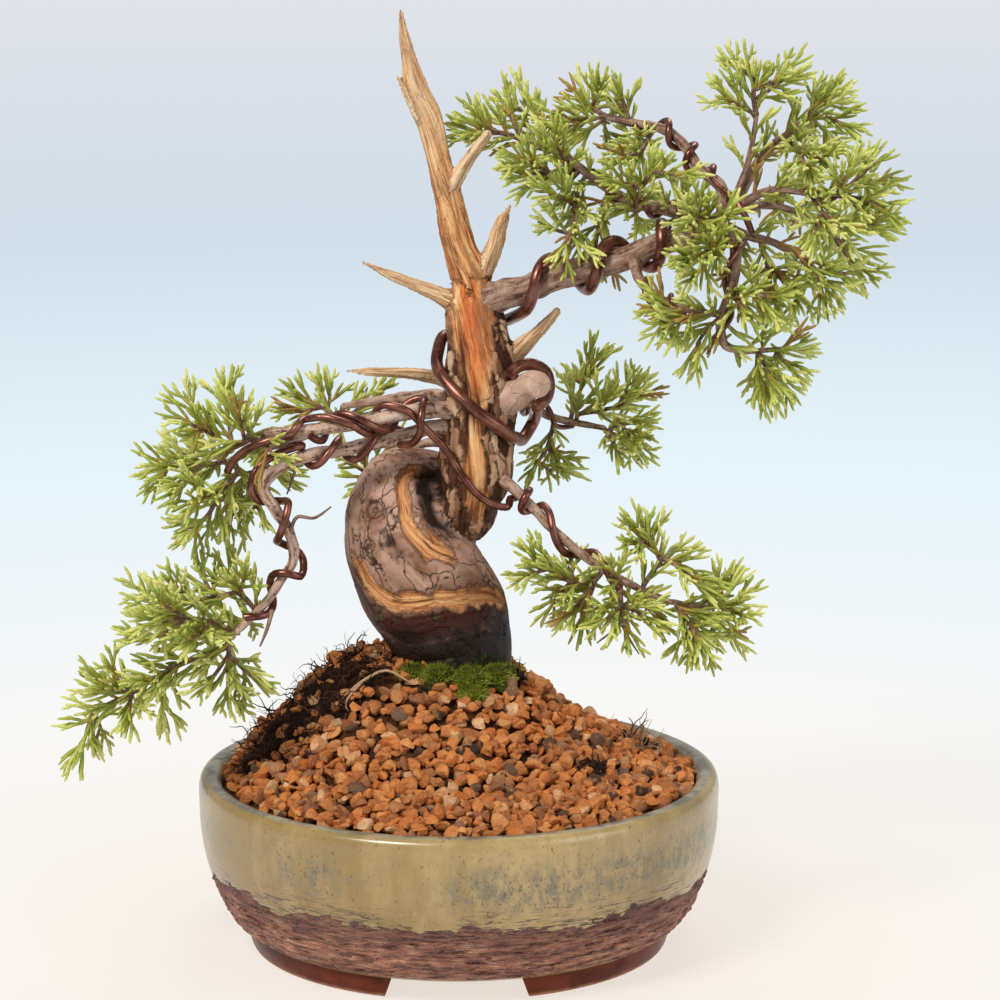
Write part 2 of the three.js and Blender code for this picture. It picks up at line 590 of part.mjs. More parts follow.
// ---- Foliage: sprays of cord-like shoots covered in scale leaves ----------
// A spray is a stem with side twigs; each side starts at the numbered stem point.
const SPRAYS = {
  crown_tip: {
    stem: [[20, 12, 262], [13, 10, 264], [5, 8, 263], [-2, 6, 263]],
    sides: [
      [1, [6, 16, 268], [1, 20, 270]],
      [1, [7, 4, 266], [2, -2, 269]],
      [0, [16, 20, 270], [13, 24, 274]],
    ],
  },
  crown_tip_upper: {
    stem: [[29, 11, 260], [26, 18, 266], [24, 22, 274]],
    sides: [
      [1, [20, 26, 270], [15, 34, 272]],
    ],
  },
  crown_tip_lower: {
    stem: [[37, 8, 250], [29, 0, 252], [21, -6, 252], [15, -10, 249]],
    sides: [
      [1, [22, -12, 257], [15, -18, 259]],
      [0, [32, -4, 260], [30, -8, 269]],
    ],
  },
  crown_drop_left: {
    stem: [[40, 8, 249], [37, -2, 242], [36, -12, 234], [33, -19, 223]],
    sides: [
      [1, [31, -12, 246], [24, -18, 245]],
      [2, [31, -9, 235], [28, -3, 238]],
    ],
  },
  crown_drop_right: {
    stem: [[47, 6, 243], [45, 2, 235], [44, 0, 229], [45, -2, 220]],
    sides: [
      [2, [48, 6, 223], [50, 10, 216]],
    ],
  },
  arch_end: {
    stem: [[48, 22, 268], [43, 24, 271], [38, 28, 274], [34, 30, 275]],
    sides: [
      [1, [45, 18, 276], [44, 14, 282]],
      [0, [37, 12, 268], [31, 6, 268], [29, 2, 266]],
      [0, [41, 30, 262], [36, 36, 258]],
    ],
  },
  arch_top: {
    stem: [[56, 21, 265], [54, 22, 271], [50, 22, 281]],
    sides: [
      [1, [49, 32, 273], [46, 38, 276]],
    ],
  },
  arch_under: {
    stem: [[62, 18, 263], [58, 8, 258], [52, 0, 257], [47, -4, 256]],
    sides: [
      [1, [55, 26, 260], [50, 34, 256]],
    ],
  },
  heart: {
    stem: [[56, 1, 240], [58, -10, 248], [61, -16, 254], [66, -18, 258]],
    sides: [
      [1, [50, -16, 251], [46, -20, 252]],
      [2, [67, -24, 254], [75, -28, 252]],
    ],
  },
  heart_right: {
    stem: [[77, -8, 238], [76, -17, 240], [74, -28, 240], [73, -38, 243]],
    sides: [
      [1, [83, -27, 241], [88, -33, 246]],
    ],
  },
  crown_top: {
    stem: [[95, 5, 270], [94, 4, 275], [94, 2, 286]],
    sides: [
      [0, [88, 0, 274], [80, -6, 279]],
      [1, [100, 9, 278], [105, 14, 281], [109, 18, 282]],
      [1.3, [101, -2, 281], [110, -6, 283]],
      [1.6, [89, 10, 285], [85, 17, 287]],
    ],
  },
  crown_high: {
    stem: [[113, 19, 269], [117, 20, 272], [122, 22, 275], [126, 24, 277]],
    sides: [
      [0, [115, 26, 274], [115, 30, 279]],
      [0, [120, 12, 268], [129, 8, 263]],
      [0, [119, 30, 263], [127, 38, 256]],
    ],
  },
  crown_high_low: {
    stem: [[105, 15, 262], [109, 4, 259], [115, -4, 257], [121, -8, 255]],
    sides: [
      [1, [109, -12, 256], [112, -18, 250]],
    ],
  },
  crown_right: {
    stem: [[119, -13, 246], [125, -14, 251], [130, -14, 256], [135, -12, 258]],
    sides: [
      [0, [126, -20, 246], [133, -24, 244], [138, -26, 241]],
      [0, [120, -26, 252], [123, -34, 259]],
      [1, [133, -8, 250], [139, -4, 248]],
    ],
  },
  crown_right_low: {
    stem: [[110, -11, 248], [114, -20, 242], [120, -26, 237], [126, -30, 234]],
    sides: [
      [1, [111, -32, 236], [112, -38, 230]],
      [2, [129, -20, 238], [136, -16, 234]],
    ],
  },
  crown_rear: {
    stem: [[124, 33, 226], [130, 36, 229], [137, 38, 231], [144, 38, 229]],
    sides: [
      [0, [128, 30, 221], [134, 26, 216], [136, 24, 213]],
      [0, [124, 44, 231], [129, 50, 237]],
      [1, [133, 32, 237], [137, 28, 242]],
    ],
  },
  crown_rear_mid: {
    stem: [[103, 19, 240], [106, 24, 244], [112, 32, 246], [116, 40, 249]],
    sides: [
      [1, [104, 33, 238], [108, 42, 234]],
    ],
  },
  crown_low: {
    stem: [[111, 12, 224], [115, 10, 220], [120, 8, 215], [123, 4, 209]],
    sides: [
      [0, [109, 4, 219], [108, 0, 211], [108, -2, 204]],
      [1, [124, 18, 218], [131, 22, 214]],
      [1, [116, 0, 215], [118, -6, 207]],
    ],
  },
  crown_low_mid: {
    stem: [[97, 5, 229], [99, 2, 222], [100, 0, 215], [100, -4, 206]],
    sides: [
      [1, [96, 12, 215], [96, 16, 208]],
      [1, [104, -8, 217], [105, -12, 210]],
    ],
  },
  front_upper: {
    stem: [[84, -14, 233], [79, -25, 231], [73, -34, 229], [66, -38, 231]],
    sides: [
      [1, [79, -36, 233], [77, -38, 238]],
      [1.5, [75, -40, 226], [69, -46, 224]],
    ],
  },
  front_right: {
    stem: [[86, -29, 219], [91, -38, 219], [97, -42, 218], [103, -42, 221]],
    sides: [
      [1, [95, -36, 213], [102, -34, 208]],
      [0, [88, -42, 214], [90, -46, 207]],
    ],
  },
  front_left: {
    stem: [[82, -33, 211], [74, -38, 213], [65, -40, 214], [57, -40, 215]],
    sides: [
      [1, [67, -44, 210], [59, -48, 211]],
      [2, [64, -38, 207], [65, -38, 202]],
      [2, [61, -34, 218], [59, -32, 220]],
      [0, [75, -36, 203], [74, -33, 193]],
    ],
  },
  crown_tail: {
    stem: [[94, -27, 199], [100, -24, 199], [106, -22, 199], [112, -20, 198]],
    sides: [
      [1, [103, -28, 195], [110, -30, 192]],
      [0, [94, -26, 192], [96, -24, 185], [97, -22, 179]],
      [0, [98, -34, 191], [101, -36, 185]],
      [1, [101, -18, 191], [105, -14, 183]],
    ],
  },
  crown_back: {
    stem: [[73, 44, 233], [70, 50, 237], [65, 56, 239]],
    sides: [
      [0, [78, 52, 238], [82, 58, 242]],
      [0, [77, 50, 228], [80, 56, 223]],
      [0, [67, 46, 231], [60, 48, 232]],
    ],
  },
  pad_top: {
    stem: [[-61, -26, 171], [-67, -24, 170], [-71, -22, 168], [-77, -20, 171], [-81, -18, 176]],
    sides: [
      [2, [-73, -16, 177], [-74, -12, 185], [-72, -10, 189]],
      [1, [-68, -32, 179], [-69, -36, 186]],
      [0, [-57, -34, 167], [-53, -38, 169]],
      [4, [-86, -14, 181], [-90, -12, 184]],
      [3, [-84, -28, 176], [-90, -32, 178]],
      [1, [-64, -16, 175], [-62, -14, 179]],
    ],
  },
  pad_left: {
    stem: [[-74, -17, 162], [-82, -20, 161], [-91, -24, 162], [-100, -28, 162]],
    sides: [
      [1, [-89, -10, 164], [-96, -6, 164]],
      [1, [-85, -32, 158], [-91, -38, 155]],
      [2, [-95, -14, 155], [-99, -10, 151]],
      [0, [-80, 4, 161], [-88, 16, 163]],
    ],
  },
  pad_low: {
    stem: [[-70, -18, 159], [-75, -22, 153], [-79, -24, 146], [-82, -24, 143], [-86, -22, 134]],
    sides: [
      [1, [-81, -34, 153], [-86, -40, 149]],
      [3, [-87, -16, 140], [-90, -12, 138]],
      [1, [-72, -12, 145], [-76, -8, 135]],
    ],
  },
  pad_right: {
    stem: [[-61, -14.5, 163], [-64, -12, 158], [-65, -9, 150], [-64, -6, 138]],
    sides: [
      [1, [-69, -4, 155], [-71, 2, 146], [-73, 6, 140]],
      [0.6, [-57, -7, 156], [-53, -3, 152]],
    ],
  },
  rear_left: {
    stem: [[-40, 43, 166], [-45, 48, 168], [-52, 52, 171], [-59, 54, 174]],
    sides: [
      [0.9, [-44, 55, 172], [-46, 59, 178]],
      [1.2, [-54, 44, 168], [-60, 39, 170]],
      [0, [-34, 49, 168], [-28, 54, 172], [-23, 58, 174]],
    ],
  },
  rear_low: {
    stem: [[-30, 41, 147], [-34, 44, 145], [-37, 46, 141]],
    sides: [
      [0, [-35, 36, 151], [-38, 32, 153]],
      [0, [-24, 46, 144], [-20, 50, 140]],
      [1, [-30, 50, 149], [-24, 55, 153], [-18, 58, 156]],
    ],
  },
  cascade_tip: {
    stem: [
      ...[[-73, -36, 106], [-82, -38, 103], [-91, -38, 99]],
      ...[[-103, -36, 91], [-115, -34, 84], [-119, -33, 74], [-122, -32, 66]],
    ],
    sides: [
      [3, [-110, -32, 97], [-114, -30, 100]],
      [3, [-110, -42, 94], [-117, -46, 94]],
      [3, [-103, -44, 86], [-102, -46, 80]],
      [2, [-94, -32, 89], [-92, -28, 78]],
      [4, [-114, -28, 77], [-115, -24, 72]],
      [2, [-96, -47, 98], [-101, -54, 96]],
    ],
  },
  cascade_upper: {
    stem: [[-64, -31, 117], [-69, -30, 122], [-77, -32, 121], [-84, -34, 121], [-92, -36, 124]],
    sides: [
      [1, [-72, -24, 127], [-77, -20, 133]],
      [1, [-67, -38, 128], [-67, -42, 134]],
      [2, [-80, -26, 125], [-84, -22, 131]],
      [3, [-88, -42, 127], [-91, -46, 131]],
      [3, [-92, -24, 117], [-100, -16, 117], [-106, -12, 115]],
    ],
  },
  cascade_mid: {
    stem: [[-69, -34, 110], [-77, -44, 116], [-84, -52, 119], [-95, -56, 119], [-101, -58, 120]],
    sides: [
      [1, [-81, -58, 114], [-88, -64, 113]],
      [2, [-93, -46, 112], [-105, -40, 110]],
      [2, [-90, -60, 125], [-96, -64, 130]],
    ],
  },
  cascade_back: {
    stem: [[-66, -30, 113], [-75, -16, 110], [-85, -8, 107], [-95, -2, 104]],
    sides: [
      [1, [-82, -6, 101], [-89, 2, 96]],
      [2, [-94, -2, 110], [-102, 6, 109]],
    ],
  },
  cascade_hang: {
    stem: [[-72, -38, 104], [-72, -40, 98], [-72, -40, 91], [-71, -40, 86]],
    sides: [
      [0, [-64, -34, 95], [-60, -32, 92]],
      [0, [-77, -46, 98], [-83, -50, 93]],
      [2, [-69, -34, 87], [-67, -32, 84]],
    ],
  },
  rear_right: {
    stem: [[49, 41, 162], [54, 42, 164], [60, 42, 165], [64, 40, 168]],
    sides: [
      [0, [55, 50, 157], [61, 56, 153], [64, 58, 152]],
      [0, [52, 34, 157], [53, 30, 151]],
      [1, [58, 30, 161], [63, 24, 162]],
    ],
  },
  rear_right_upper: {
    stem: [[39, 36, 168], [45, 32, 170], [52, 28, 172], [57, 26, 172]],
    sides: [
      [2, [55, 22, 179], [56, 18, 186]],
      [2, [60, 30, 177], [63, 34, 181]],
      [1, [47, 40, 174], [48, 46, 178]],
      [1, [48, 22, 175], [50, 18, 181]],
    ],
  },
  rear_right_tuft: {
    stem: [[37, 36, 167], [39, 42, 172], [41, 46, 177], [43, 48, 186]],
    sides: [
      [2, [38, 52, 178], [36, 56, 179]],
      [2, [44, 44, 184], [48, 38, 187]],
    ],
  },
  rear_right_low: {
    stem: [[31, 30, 166], [29, 26, 159], [26, 22, 155], [23, 18, 151]],
    sides: [
      [1, [33, 32, 154], [38, 36, 150]],
      [2, [31, 28, 150], [33, 32, 147]],
    ],
  },
  right_inner: {
    stem: [[44, -19, 124], [36, -26, 125], [29, -30, 130], [25, -32, 134], [23, -34, 141]],
    sides: [
      [2, [23, -36, 129], [19, -40, 125]],
      [1, [31, -20, 118], [29, -16, 111]],
      [1, [37, -14, 128], [38, -10, 130]],
      [0, [42, -12, 116], [40, -8, 110], [41, -4, 102]],
      [0, [37, -28, 116], [33, -32, 110]],
    ],
  },
  right_heart: {
    stem: [[52, -20, 123], [52, -26, 117], [53, -30, 111], [54, -32, 103]],
    sides: [
      [1, [58, -34, 116], [64, -38, 110]],
      [1, [47, -36, 115], [44, -40, 110]],
      [1, [57, -14, 116], [63, -8, 112], [68, -4, 107]],
      [0, [49, -30, 129], [46, -34, 134]],
    ],
  },
  right_top: {
    stem: [[59, -21, 122], [63, -20, 128], [65, -20, 131], [61, -22, 135], [59, -24, 138], [54, -28, 146]],
    sides: [
      [3, [61, -16, 140], [61, -12, 143]],
      [4, [56, -30, 138], [52, -34, 141]],
      [2, [70, -22, 129], [78, -26, 123], [83, -28, 122]],
      [2, [72, -14, 129], [77, -10, 130]],
    ],
  },
  right_end: {
    stem: [[69, -20, 117], [77, -18, 115], [85, -14, 115], [92, -10, 116], [96, -8, 115]],
    sides: [
      [1, [83, -8, 118], [86, -2, 125]],
      [2, [90, -22, 113], [93, -26, 110]],
      [2, [89, -4, 119], [92, 0, 121]],
      [1, [84, -12, 108], [90, -4, 101]],
      [0, [74, -26, 110], [70, -30, 105], [69, -32, 102]],
      [0, [76, -32, 107], [75, -36, 101]],
      [0, [78, -16, 105], [81, -12, 96]],
    ],
  },
};
const TWIG_RADIUS = 0.95;
const NODE_SPACING = 13; // along a twig, from one tuft of shoots to the next
const SIDE_SPACING = 3.2; // between two side twigs
const NODE_LENGTH = 1.4; // the short length of twig that a tuft of shoots leaves from
const SHOOT_LENGTH = 11.5;
const LAST_SHOOT = 9; // from the last tuft of a twig to the end of its route
const SHORTEST_SHOOT = 5; // where a twig's last tuft sits at the very end of its route
const FORWARD = 0.75; // how far a shoot leans along its twig
const LIFT = 0.12; // how far it leans up towards the light
const GAP_BETWEEN_SHOOTS = 0.15;

// One spray as a single skin. A twig is a run of four-cornered rings; at each
// node of it two rings stand close together, and every one of the four small
// faces between them can be drawn out into a shoot or a side twig.
class Spray {
  constructor(name, seed) {
    this.name = name;
    this.draw = seeded(seed);
    this.corners = [];
    this.faces = [];
    this.own = []; // capsules of this spray alone
  }
  ring(centre, spokes, radius) {
    return spokes.map((spoke) => {
      this.corners.push(centre.clone().addScaledVector(spoke, radius));
      return this.corners.length - 1;
    });
  }
  quad([a, b, c, d]) {
    this.faces.push([a, b, c], [a, c, d]);
  }
  middle(quad) {
    return quad.reduce((sum, i) => sum.add(this.corners[i]), v3(0, 0, 0)).divideScalar(4);
  }
  // Directions from the middle of a face to its corners, turned square to `along`.
  spokes(quad, along) {
    const middle = this.middle(quad);
    return quad.map((i) => {
      const spoke = this.corners[i].clone().sub(middle);
      return spoke.addScaledVector(along, -spoke.dot(along)).normalize();
    });
  }
  sides(lower, upper) {
    return [0, 1, 2, 3].map((k) => [lower[k], lower[(k + 1) % 4], upper[(k + 1) % 4], upper[k]]);
  }
  fits(capsule, kin) {
    const free = (other) =>
      segmentDistance(capsule, other) > capsule.radius + other.radius + GAP_BETWEEN_SHOOTS;
    return isClear(capsule, this.name) && this.own.every((other) => kin.has(other) || free(other));
  }
  // Draws a face out into a shoot that ends in a point.
  shoot(quad, direction, length, kin) {
    const a = this.middle(quad);
    const b = a.clone().addScaledVector(direction, length);
    const [near, far] = [0.12, 0.45].map((t) => a.clone().lerp(b, t));
    const root = { a: near, b: far, radius: SHOOT_RADIUS * 0.8, owner: this.name };
    const tip = { a: far, b, radius: SHOOT_RADIUS * 0.5, owner: this.name };
    if (!this.fits(root, kin) || !this.fits(tip, new Set())) return false;
    this.own.push(root, tip);
    kin.add(root);
    this.corners.push(b);
    const apex = this.corners.length - 1;
    for (let k = 0; k < 4; k++) this.faces.push([quad[k], quad[(k + 1) % 4], apex]);
    return true;
  }
  // Draws a face out along a route, with nodes on the way.
  twig(quad, route, radius, leaving = [], kin = new Set()) {
    const curve = new Limb(route.map((p) => [...p, radius]), { zero: UP });
    const length = curve.curve.getLength();
    const spans = curve.spans;
    const reach = (distance) => (distance / length) * spans;
    const nodes = [];
    for (const [from, ...side] of [...leaving].sort((p, q) => p[0] - q[0])) {
      const earlier = nodes.length ? nodes[nodes.length - 1].at + reach(SIDE_SPACING) : 0;
      nodes.push({ at: Math.max(from, earlier, reach(2.2)), side });
    }
    const count = Math.max(1, Math.round(length / NODE_SPACING));
    const lastTuft = Math.max(0.4, 1 - LAST_SHOOT / length) * spans;
    for (let i = 0; i < count; i++) {
      const at = ((i + 1) / count) * lastTuft;
      if (nodes.every((node) => Math.abs(node.at - at) > reach(NODE_SPACING / 2))) nodes.push({ at });
    }
    nodes.sort((p, q) => p.at - q.at);
    let below = quad;
    let before = curve.centre(0);
    const grown = [];
    for (const { at, side } of nodes) {
      const { tangent } = curve.frame(at);
      const thick = mix(radius, radius * 0.7, at / spans);
      const centre = curve.centre(at);
      const spokes = this.spokes(below, tangent);
      const half = NODE_LENGTH / 2;
      const lower = this.ring(centre.clone().addScaledVector(tangent, -half), spokes, thick);
      const upper = this.ring(centre.clone().addScaledVector(tangent, half), spokes, thick);
      for (const face of this.sides(below, lower)) this.quad(face);
      const stretch = { a: before, b: centre, radius: thick, owner: this.name };
      this.own.push(stretch);
      const faces = this.sides(lower, upper);
      const ahead = length * (1 - at / spans);
      grown.push({ side, tangent, ahead, free: new Set(faces), kin: new Set([...kin, stretch]) });
      if (grown.length > 1) grown[grown.length - 2].kin.add(stretch);
      [below, before] = [upper, centre];
    }
    const { tangent } = curve.frame(spans);
    const last = grown[grown.length - 1];
    const onward = curve.centre(spans).sub(this.middle(below));
    if (onward.length() < SHORTEST_SHOOT) onward.copy(tangent).multiplyScalar(SHORTEST_SHOOT);
    if (!this.shoot(below, onward.clone().normalize(), onward.length(), last.kin)) this.quad(below);
    return grown;
  }
  outward(quad) {
    const [a, b, , d] = quad.map((i) => this.corners[i]);
    return b.clone().sub(a).cross(d.clone().sub(a)).normalize();
  }
  // Side twigs take the face that looks their way, before any shoot is drawn.
  branch(grown) {
    const added = [];
    for (const node of grown.filter(({ side }) => side)) {
      const [first] = node.free;
      const heading = v3(...node.side[0]).sub(this.middle(first)).normalize();
      const fit = (quad) => this.outward(quad).dot(heading);
      const face = [...node.free].sort((p, q) => fit(q) - fit(p))[0];
      const start = this.middle(face);
      const route = [[start.x, start.y, start.z], ...node.side];
      const path = new Limb(route.map((p) => [...p, TWIG_RADIUS * 0.8]), { zero: UP });
      const chain = path.capsules(this.name);
      chain[0].a.lerp(chain[0].b, Math.min(0.6, 4 / chain[0].a.distanceTo(chain[0].b)));
      if (!chain.every((capsule, i) => this.fits(capsule, i ? new Set() : node.kin))) continue;
      node.free.delete(face);
      const nodes = this.twig(face, route, TWIG_RADIUS * 0.85, [], node.kin);
      for (const part of nodes[0].kin) node.kin.add(part);
      added.push(...nodes);
    }
    return added;
  }
  // Every face left over at a node is drawn out into a shoot, or closed.
  leaf(grown) {
    for (const node of grown)
      for (const face of node.free) {
        const tilt = mix(0.5, 0.75, this.draw());
        const direction = this.outward(face).multiplyScalar(tilt).addScaledVector(node.tangent, FORWARD);
        direction.addScaledVector(UP, LIFT).normalize();
        const room = Math.max(SHORTEST_SHOOT, 1.25 * node.ahead); // it stays within its route's end
        const length = Math.min(room, SHOOT_LENGTH * mix(0.7, 1.2, this.draw()));
        const grows = (part) => this.shoot(face, direction, length * part, node.kin);
        if (![1, 0.75, 0.5].some(grows)) this.quad(face);
      }
  }
  geometry() {
    const geometry = new THREE.BufferGeometry();
    const positions = this.corners.flatMap((p) => [p.x, p.y, p.z]);
    geometry.setAttribute("position", new THREE.Float32BufferAttribute(positions, 3));
    geometry.setIndex(this.faces.flat());
    return geometry;
  }
}

// Moves the start of a stem along it until it stands clear of the wood.
function trimmed(points, radius, owner) {
  const run = new Limb(points.map((p) => [...p, radius]), { zero: UP });
  const step = 0.02;
  for (let at = 0; at < 0.9; at += step) {
    const a = run.centre(at);
    const b = a.clone().addScaledVector(run.frame(at).tangent, 0.3);
    if (isClear({ a, b, radius }, owner)) return [[a.x, a.y, a.z], ...points.slice(1)];
  }
  return points;
}

function spray(name, { stem, sides }, seed) {
  const grown = new Spray(name, seed);
  const route = trimmed(stem, TWIG_RADIUS, name);
  const first = v3(...route[0]);
  const along = v3(...route[1]).sub(first).normalize();
  const across = UP.clone().cross(along).normalize();
  const over = along.clone().cross(across);
  const spokes = [across, over, across.clone().negate(), over.clone().negate()];
  const foot = grown.ring(first, spokes, TWIG_RADIUS);
  grown.quad([...foot].reverse());
  const nodes = grown.twig(foot, route, TWIG_RADIUS, sides);
  grown.leaf([...nodes, ...grown.branch(nodes)]);
  taken.push(...grown.own);
  return solidOf(grown.geometry());
}

// Every route is kept free before the first shoot is drawn.
for (const [name, { stem, sides }] of Object.entries(SPRAYS)) {
  const run = new Limb(stem.map((p) => [...p, TWIG_RADIUS]), { zero: UP });
  taken.push(...run.capsules(name));
  for (const [from, ...rest] of sides) {
    const start = run.centre(from);
    const side = [[start.x, start.y, start.z], ...rest].map((p) => [...p, TWIG_RADIUS * 0.8]);
    taken.push(...new Limb(side, { zero: UP }).capsules(name));
  }
}

// ---- Soil ----------------------------------------------------------------
// A mound under the tree, with a hump of old root soil on its left slope.
const MOUND = { x: -8, y: 4, foot: 50.5, rise: 42, reach: 47, power: 3.4 };
const HUMP = { x: -43, y: 4, rise: 7, reach: 16 };
function mound(x, y) {
  const away = Math.hypot(x - MOUND.x, y - MOUND.y) / MOUND.reach;
  const hump = ((x - HUMP.x) ** 2 + (y - HUMP.y) ** 2) / (2 * HUMP.reach ** 2);
  return MOUND.foot + MOUND.rise / (1 + away ** MOUND.power) + HUMP.rise * Math.exp(-hump);
}

// A block whose top is a net of points, shifted and raised by a rule.
function relief(width, pitch, centreX, centreY, height, seed) {
  const draw = seeded(seed);
  const cells = Math.round(width / pitch);
  const block = new THREE.BoxGeometry(width, width, 2, cells, cells, 1);
  const position = block.attributes.position;
  const moved = new Map();
  for (let i = 0; i < position.count; i++) {
    const [u, v, side] = [position.getX(i), position.getY(i), position.getZ(i)];
    if (side < 0) {
      position.setXYZ(i, u + centreX, v + centreY, 0);
      continue;
    }
    const key = `${Math.round(u / 0.01)},${Math.round(v / 0.01)}`;
    if (!moved.has(key)) {
      const column = Math.round((u + width / 2) / pitch);
      const row = Math.round((v + width / 2) / pitch);
      const x = u + centreX + (draw() - 0.5) * 0.5 * pitch + (row % 2 ? pitch / 4 : -pitch / 4);
      const y = v + centreY + (draw() - 0.5) * 0.5 * pitch;
      moved.set(key, [x, y, height(x, y, column, row, draw)]);
    }
    position.setXYZ(i, ...moved.get(key));
  }
  return solidOf(block);
}

// Every second point of the net is the top of a granule, the rest lie between.
function granules(x, y, column, row, draw) {
  const top = row % 2 === 0 ? column % 2 === 0 : column % 2 === 1;
  return mound(x, y) + (top ? GRANULE_HEIGHT * mix(0.6, 1.3, draw()) : mix(-0.8, 0.6, draw()));
}

// The soil's socket round the foot of the trunk.
function trunkSocket() {
  const foot = LIMBS.trunk.points.slice(0, 5).map(([x, y, z, radius]) => [x, y, z, radius + 0.7]);
  foot[0][2] -= CLEARANCE * 2;
  return new Limb(foot, { sides: 12, perSpan: 2, flutes: 0.05 }).solid();
}

// Moss cushions in an arc round the front of the trunk's foot: [angle, out, up, radius].
const TRUNK_FOOT = { x: -3.5, y: 6, radius: 19.5 };
const MOSS_CUSHIONS = [
  [-60, 2, 90.5, 5],
  [-34, 3, 91, 6],
  [-8, 3.5, 90.5, 6.4],
  [18, 4.5, 89.5, 6.6],
  [44, 3.5, 89, 6.2],
  [68, 2, 88, 5.4],
  [16, 9, 86.5, 5],
];
function moss(margin) {
  const draw = seeded(5);
  const cushions = MOSS_CUSHIONS.map(([angle, out, z, radius]) => {
    const turn = THREE.MathUtils.degToRad(angle);
    const reach = TRUNK_FOOT.radius + out;
    const ball = new THREE.IcosahedronGeometry(radius + margin, 0);
    ball.rotateX(draw() * 3).rotateZ(draw() * 3);
    ball.translate(TRUNK_FOOT.x + Math.sin(turn) * reach, TRUNK_FOOT.y - Math.cos(turn) * reach, z);
    return solidOf(ball);
  });
  return joined(cushions);
}

// The mat of dead roots: a plug in the left slope, with roots that stick out.
const MAT = { x: -47, y: 1, width: 19, depth: 16, foot: 60 };
const MAT_NET = { width: 49, pitch: 7 };
function matPlug(margin) {
  const plug = new THREE.CylinderGeometry(1, 1, 80, 14).rotateX(Math.PI / 2);
  plug.scale(MAT.width + margin, MAT.depth + margin, 1);
  plug.translate(MAT.x, MAT.y, MAT.foot - margin + 40);
  return solidOf(plug);
}
const MAT_ROOTS = [
  [[-58, 2, 68, 1], [-64, -1, 76, 0.8], [-66, -4, 81, 0.3]],
  [[-56, -4, 68, 1], [-63, -9, 74, 0.8], [-67, -12, 76, 0.3]],
  [[-50, -2, 74, 1], [-56, -8, 81, 0.8], [-60, -10, 86, 0.3]],
  [[-46, 6, 80, 1], [-52, 5, 90, 0.8], [-57, 2, 94, 0.3]],
  [[-42, 4, 82, 1], [-46, 2, 93, 0.8], [-51, -2, 97, 0.3]],
  [[-44, -8, 76, 1], [-49, -15, 82, 0.8], [-52, -19, 82, 0.3]],
  [[-38, -6, 80, 1], [-41, -14, 88, 0.8], [-37, -19, 89, 0.5], [-33, -21, 88, 0.3]],
  [[-36, -2, 84, 1], [-37, -11, 94, 0.8], [-30, -17, 97, 0.5]],
];
const RIM_ROOTS = [
  [[66, 12, 58, 1.2], [69, 11, 66, 1], [73, 12, 73, 0.4]],
  [[66, 12, 58, 1.2], [65, 14, 66, 1], [60, 16, 73, 0.4]],
  [[66, 12, 58, 1.2], [70, 6, 63, 1], [72, 0, 68, 0.4]],
  [[66, 12, 58, 1.2], [68, 17, 65, 1], [71, 20, 71, 0.4]],
];
const RIM_KNOT = { x: 66, y: 12, z: 59, radius: 5 };
const roots = (routes) => joined(routes.map((route) => new Limb(route, { sides: 3, zero: RIGHT }).solid()));
function rootMat() {
  const top = (x, y, column, row, draw) => mound(x, y) + mix(-0.3, 2.4, draw());
  const lump = relief(MAT_NET.width, MAT_NET.pitch, MAT.x, MAT.y, top, 11).intersect(matPlug(0));
  const roof = lump.trimByPlane([0, 0, 1], MAT.foot);
  return largestBody(roof.add(roots(MAT_ROOTS)));
}
function rimRoots(margin) {
  const knot = new THREE.IcosahedronGeometry(RIM_KNOT.radius + margin, 0);
  knot.scale(1, 1, 0.8).translate(RIM_KNOT.x, RIM_KNOT.y, RIM_KNOT.z);
  return margin ? solidOf(knot) : largestBody(solidOf(knot).add(roots(RIM_ROOTS)));
}

function soil() {
  const inside = POT_INSIDE.map(([radius, z]) => [radius - CLEARANCE, z]);
  const [lip, ...below] = inside;
  below[below.length - 1][1] = FLOOR_TOP + CLEARANCE;
  const wall = [[0, FLOOR_TOP + CLEARANCE], ...below.reverse(), lip];
  const bed = turned([...wall, [lip[0], ABOVE_SOIL], [0, ABOVE_SOIL]], POT_SIDES);
  const heap = relief(2 * POT_RADIUS + GRANULE_PITCH, GRANULE_PITCH / 2, 0, 0, granules, 3);
  let body = heap.intersect(solidOf(bed));
  for (const x of [-DRAIN_X, DRAIN_X]) {
    const side = SCREEN_SIDE + 2 * CLEARANCE;
    const pocket = new THREE.BoxGeometry(side, side, 2 * (SCREEN_THICKNESS + CLEARANCE));
    body = body.subtract(solidOf(pocket.translate(x, 0, FLOOR_TOP + CLEARANCE)));
  }
  for (const room of [trunkSocket(), moss(CLEARANCE * 1.5), matPlug(CLEARANCE), rimRoots(CLEARANCE * 1.5)])
    body = body.subtract(room);
  return largestBody(body);
}

// ---- Assembly --------------------------------------------------------------
const trunkFoot = trunkSocket();
place("pot", pot(), GLAZE);
place("drain_screen_left", screen(-DRAIN_X), MESH_PLASTIC);
place("drain_screen_right", screen(DRAIN_X), MESH_PLASTIC);
place("soil", soil(), CLAY);
place("root_mat", largestBody(rootMat().subtract(trunkFoot)), ROOT_SOIL);
place("rim_roots", rimRoots(0), ROOT_SOIL);
place("moss", largestBody(moss(0).subtract(trunkFoot)), MOSS);
place("tree", tree(), BARK);
for (const [name, run] of wires) place(name, run.solid(), WIRE);
for (const [index, name] of Object.keys(SPRAYS).entries())
  place(`spray_${name}`, spray(name, SPRAYS[name], index + 1), LEAF);

// The origin goes under the middle of the whole plant, on the surface it stands on.
const box = new THREE.Box3().setFromObject(bonsai);
const middle = box.getCenter(v3(0, 0, 0));
for (const mesh of bonsai.children) mesh.position.set(-middle.x, -middle.y, -box.min.z);
export default bonsai;
